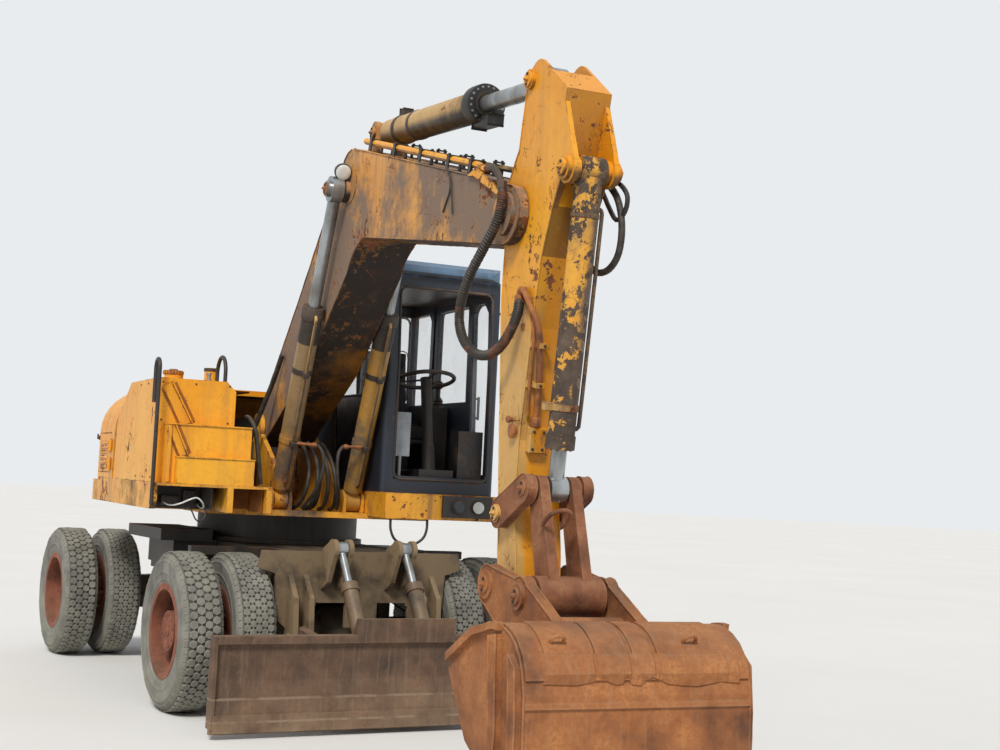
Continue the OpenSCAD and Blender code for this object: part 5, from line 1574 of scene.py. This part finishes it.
def seal(bm, corners, radius, cut=0.05):
    tube(bm, [upper(*p) for p in eased(corners, cut)], radius, 8)


CAB_MID = 0.7755
seals = bmesh.new()
seal(seals, [(1.2185, 0.441, 1.54), (1.2185, 1.147, 1.54), (1.2185, 1.147, 2.33), (1.18, 1.147, 2.885),
             (1.18, 0.441, 2.885), (1.2185, 0.441, 2.33)], 0.01)
side_outline = [(-0.34, 2.13), (1.11, 2.13), (1.11, 2.34), (1.07, 2.845), (-0.34, 2.845)]
seal(seals, [(x, 0.3445, z) for x, z in side_outline], 0.009)
for x in (0.16, 0.66):
    tube(seals, [upper(x, 0.3465, 2.13), upper(x, 0.3465, 2.5), upper(x, 0.3465, 2.845)], 0.012, 8)
seal(seals, [(-0.4315, 0.456, 2.15), (-0.4315, 1.145, 2.15), (-0.4315, 1.145, 2.845), (-0.4315, 0.456, 2.845)],
     0.009)
piece("cab_seals", seals, "black_trim", "upper")
print("cab seals laid")


# %% Door seals and gutter
door_seals = bmesh.new()
seal(door_seals, [(x, 1.206, z) for x, z in ((0.85, 1.59), (1.105, 1.59), (1.105, 2.34), (1.075, 2.77),
                                             (1.0, 2.845), (0.85, 2.845), (0.78, 2.79))], 0.008, 0.03)
seal(door_seals, [(x, 1.206, z) for x, z in ((0.12, 2.13), (0.73, 2.13), (0.715, 2.845), (0.12, 2.845))], 0.008,
     0.04)
piece("door_seals", door_seals, "black_trim", "cab_door")
gutter = bmesh.new()
seal(gutter, [(1.196, 0.352, 2.979), (1.196, 1.199, 2.979), (-0.425, 1.199, 2.979), (-0.425, 0.352, 2.979)], 0.0075,
     0.09)
piece("roof_gutter", gutter, "cab_paint", "upper")
print("seals made")

# %% Controls
controls = bmesh.new()
arm_y = 0.4295 - 0.045 - 0.075
for side in (-1, 1):
    own = standing(0.4, CAB_MID + side * arm_y, 2.0895)
    spun(controls, [(0.052, 0.0), (0.05, 0.008), (0.04, 0.02), (0.044, 0.03), (0.031, 0.045), (0.035, 0.055),
                    (0.023, 0.072), (0.0175, 0.082)], own, 24)
    block(controls, (-0.3, -0.045, 0.001), (-0.06, 0.045, 0.022), own, 0.009)
    spun(controls, [(0.029, 0.15), (0.031, 0.17), (0.029, 0.196), (0.018, 0.206)], own, 20)
for y in (-0.13, 0.07):
    own = standing(0.86, CAB_MID + y, 1.56) @ Matrix.Rotation(-0.9, 4, "Y")
    block(controls, (-0.06, -0.038, -0.006), (0.06, 0.038, 0.004), own, 0.004)
piece("controls", controls, "black_trim", "upper", angle=50)
panel = bmesh.new()
blocks(panel, UPPER, ((1.085, 0.468, 1.7), (1.1, 0.6, 2.01), 0.006),
       ((1.1, 0.482, 1.93), (1.104, 0.586, 1.99), 0.002))
tube(panel, [upper(1.092, 0.53, 1.5), upper(1.092, 0.53, 1.6), upper(1.092, 0.53, 1.71)], 0.012, 8)
piece("side_panel", panel, "black_trim", "upper", "grey_panel")
column = bmesh.new()
spun(column, [(0.062, 0.0), (0.06, 0.02), (0.048, 0.05), (0.046, 0.28), (0.04, 0.3)],
     stand(upper(0.956, CAB_MID + 0.04, 1.512), heading(-0.16, 0, 0.78)), 20)
piece("column_boot", column, "black_trim", "upper", angle=50)
print("controls made")

# %% [markdown]
# ## Seat
#
# The driver's seat is two foam pads in cloth on a steel pan. The real cushion is a flat
# block of foam that a tight cover pulls round, so a cloth simulation blows a thin block
# up from inside and gives it the same crown. The seams and the sewn channels come after it,
# because the voxels of the simulated mesh are coarser than a seam.

# %% Padded cushions
VOXEL = 0.0065


def foam_block(name, size):
    """A rounded block, remeshed to even squares of 6.5 mm."""
    bm = bmesh.new()
    half = [v / 2 - 0.01 for v in size]
    block(bm, [-h for h in half], half, HOME, 0.024)
    mesh = bpy.data.meshes.new(name + "_block")
    bm.to_mesh(mesh)
    bm.free()
    holder = shown(name + "_block", mesh)
    remesh = holder.modifiers.new("voxels", "REMESH")
    remesh.mode, remesh.voxel_size = "VOXEL", VOXEL
    return settled(holder)


MOST_PUFF, PUFF_FRAMES, PRESSURE = 0.014, 20, 4.0


def puffed(mesh):
    """The mesh blown up by cloth pressure, no point moving more than MOST_PUFF metres."""
    holder = shown("puff", mesh)
    cloth_modifier = holder.modifiers.new("puff", "CLOTH")
    settings = cloth_modifier.settings
    settings.use_pressure, settings.uniform_pressure_force = True, PRESSURE
    settings.effector_weights.gravity = 0.0
    settings.quality = 4
    cloth_modifier.point_cache.frame_start, cloth_modifier.point_cache.frame_end = 1, PUFF_FRAMES
    home = [v.co.copy() for v in mesh.vertices]
    for number in range(1, PUFF_FRAMES + 1):
        bpy.context.scene.frame_set(number)
    ready = holder.evaluated_get(bpy.context.evaluated_depsgraph_get())
    moved = [v.co.copy() for v in ready.data.vertices]
    holder.modifiers.clear()
    bpy.context.scene.frame_set(1)
    bpy.data.objects.remove(holder)
    for vertex, start_at, now in zip(mesh.vertices, home, moved):
        way = now - start_at
        if way.length > MOST_PUFF:
            way *= MOST_PUFF / way.length
        vertex.co = start_at + way
    return mesh


def cushion(name, size, place, channels):
    mesh = foam_block(name, size)
    mesh = puffed(mesh)
    for vertex in mesh.vertices:
        x, y, z = vertex.co
        crown = max(0.0, 1 - (2 * x / size[0]) ** 2) * max(0.0, 1 - (2 * y / size[1]) ** 2)
        if z > 0:
            dip = sum(math.exp(-((y - c) / 0.0065) ** 2) for c in channels)
            dip += 0.8 * math.exp(-((abs(y) - size[1] * 0.4) / 0.006) ** 2)
            vertex.co.z += 0.01 * crown - 0.0085 * dip * min(1.0, crown * 3)
    mesh.transform(place)
    made = smooth(piece(name, mesh, "seat_cloth", "upper"), 180)
    soften = made.modifiers.new("soften", "SUBSURF")
    soften.levels = soften.render_levels = 1
    return made
print("foam and cloth ready")


# %% Seat
seat_place = standing(0.18, CAB_MID, 1.888)
back_place = standing(-0.02, CAB_MID, 2.242) @ Matrix.Rotation(math.radians(82), 4, "Y")
bottom = cushion("seat_cushion", (0.46, 0.44, 0.115), seat_place, (-0.085, 0.0, 0.085))
back = cushion("seat_back", (0.6, 0.43, 0.105), back_place, (-0.085, 0.0, 0.085))
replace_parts(bottom, "seat")
piping = bmesh.new()
for place, (a, b) in ((seat_place, (0.452, 0.432)), (back_place, (0.592, 0.422))):
    corners = [Vector((sx * a / 2, sy * b / 2, 0.018)) for sx, sy in ((1, 1), (-1, 1), (-1, -1), (1, -1))]
    tube(piping, [place @ p for p in eased(corners, 0.036)], 0.0042, 8)
piece("seat_piping", piping, "seat_cloth", "upper", "black_trim", 60)
frame_bm = bmesh.new()
blocks(frame_bm, UPPER, ((-0.05, CAB_MID - 0.205, 1.81), (0.385, CAB_MID + 0.205, 1.838), 0.008),
       ((0.06, CAB_MID - 0.13, 1.492), (0.3, CAB_MID + 0.13, 1.812), 0.014))
for y in (-0.15, 0.15):
    tube(frame_bm, spline([upper(x, CAB_MID + y, z) for x, z in ((0.02, 1.826), (-0.075, 1.85), (-0.1, 1.93),
                                                                 (-0.108, 2.1), (-0.128, 2.24))], 16), 0.012, 8)
lathe(frame_bm, [(0.118, 1.58), (0.124, 1.585), (0.118, 1.6), (0.124, 1.615), (0.118, 1.63), (0.11, 1.61)],
      standing(0.18, CAB_MID, 0), 20)
piece("seat_frame", frame_bm, "black_trim", "upper", angle=40)
print("seat faces", len(bottom.data.polygons) + len(back.data.polygons))

# %% [markdown]
# ## Wheels and undercarriage
#
# Hubs carry rings of screws and a drain plug, tyres have valves, and a thin brake line
# climbs from the axle to the frame on each side.

# %% Hub details
HUB = {NEAR_X: (1.175, 0.106, 10), FAR_X: (1.07, 0.074, 8)}  # cap, ring of screws, how many
for wheel, x, side in WHEELS:
    body = "wheels_" + wheel
    cap_y, ring_r, count = HUB[x]
    place = wheel_place(x, side, 0)
    repeated("hub_bolts_" + wheel, ring_of_bolts(place, ring_r, cap_y - 0.0004, count, 0.3), BOLT, "rim_rust", body,
             0.0085)
    extra = bmesh.new()
    spun(extra, [(0.034, cap_y - 0.001), (0.034, cap_y + 0.006), (0.024, cap_y + 0.009), (0.018, cap_y + 0.009),
                 (0.017, cap_y + 0.016)], place, 18)
    for y, a in ((1.045, 0.4), (0.77, 2.1)):
        out = polar(a)
        tube(extra, [place @ (out * r + Vector((0, 0, h))) for r, h in ((0.262, y), (0.25, y + 0.05),
                                                                        (0.238, y + 0.085), (0.236, y + 0.105))],
             0.0055, 8)
    piece("hub_extras_" + wheel, extra, "rim_rust", body, angle=40)
print("hub details made")

# %% Undercarriage lines
for number, side in enumerate((-1, 1)):
    pipe(f"axle_line_{number}", [(0.55, side * 0.3, 1.0), (0.8, side * 0.34, 0.86), (1.02, side * 0.4, 0.74),
                                 (1.16, side * 0.48, 0.655), (1.22, side * 0.53, 0.62)], 0.007, "chassis",
         "chassis_paint", "black_paint", place=lower, steps=20)
print("brake lines laid")

# %% [markdown]
# ## Floor and light
#
# The machine stands on a plain pale floor under soft light: one broad sun from the front
# right, where the photograph has it, and an even sky. The levels are set so that a colour
# facing the sun renders about as it is written.

# %% Floor
def pale_material(name, colour):
    """The camera sees the plain colour, lit a little by the scene so that shadows stay."""
    shader, place = start(name)
    shade = mix(ramp(noise(place, 0.4, 3.0), 0.2, 0.8), colour, "#E6E6E4")
    finish_with(shader, shade, 0.9)
    return MATERIAL[name]


floor_bm = bmesh.new()
bmesh.ops.create_circle(floor_bm, cap_ends=True, radius=90.0, segments=96)
floor_mesh = bpy.data.meshes.new("floor")
floor_bm.to_mesh(floor_mesh)
floor_bm.free()
floor_mesh.materials.append(pale_material("floor_paint", "#DFDFDD"))
shown("floor", floor_mesh)
print("floor radius 90 m")


# %% Sky and sun
def sky(lit, seen):
    """The world lights the object at one level and shows the camera a plain pale colour."""
    world = bpy.data.worlds.new("studio")
    bpy.context.scene.world = world
    world.use_nodes = True
    DRAWN.append(world.node_tree)
    DRAWN[-1].nodes.clear()
    rays = put("ShaderNodeLightPath").outputs
    shown = plus(plus(rays["Is Camera Ray"], rays["Is Glossy Ray"]),
                 rays["Is Transmission Ray"], clamp=True)
    soft = put("ShaderNodeBackground", {"Color": "#F1F3F7", "Strength": lit}).outputs[0]
    plain = put("ShaderNodeBackground", {"Color": "#E9ECEE", "Strength": seen}).outputs[0]
    both = put("ShaderNodeMixShader", {0: shown, 1: soft, 2: plain}).outputs[0]
    put("ShaderNodeOutputWorld", {"Surface": both})


sky(0.52, 1.0)
sun_data = bpy.data.lights.new("sun", "SUN")
sun_data.energy, sun_data.angle = 2.75, math.radians(14)
sun_data.color = (1.0, 0.965, 0.91)
sun = shown("sun", sun_data)
SUN_FROM = Vector((0.78, -0.64, 0.98))
sun.rotation_euler = SUN_FROM.to_track_quat("Z", "Y").to_euler()
bpy.context.scene.view_settings.view_transform = "Standard"
print("sun from", [round(v, 2) for v in SUN_FROM])
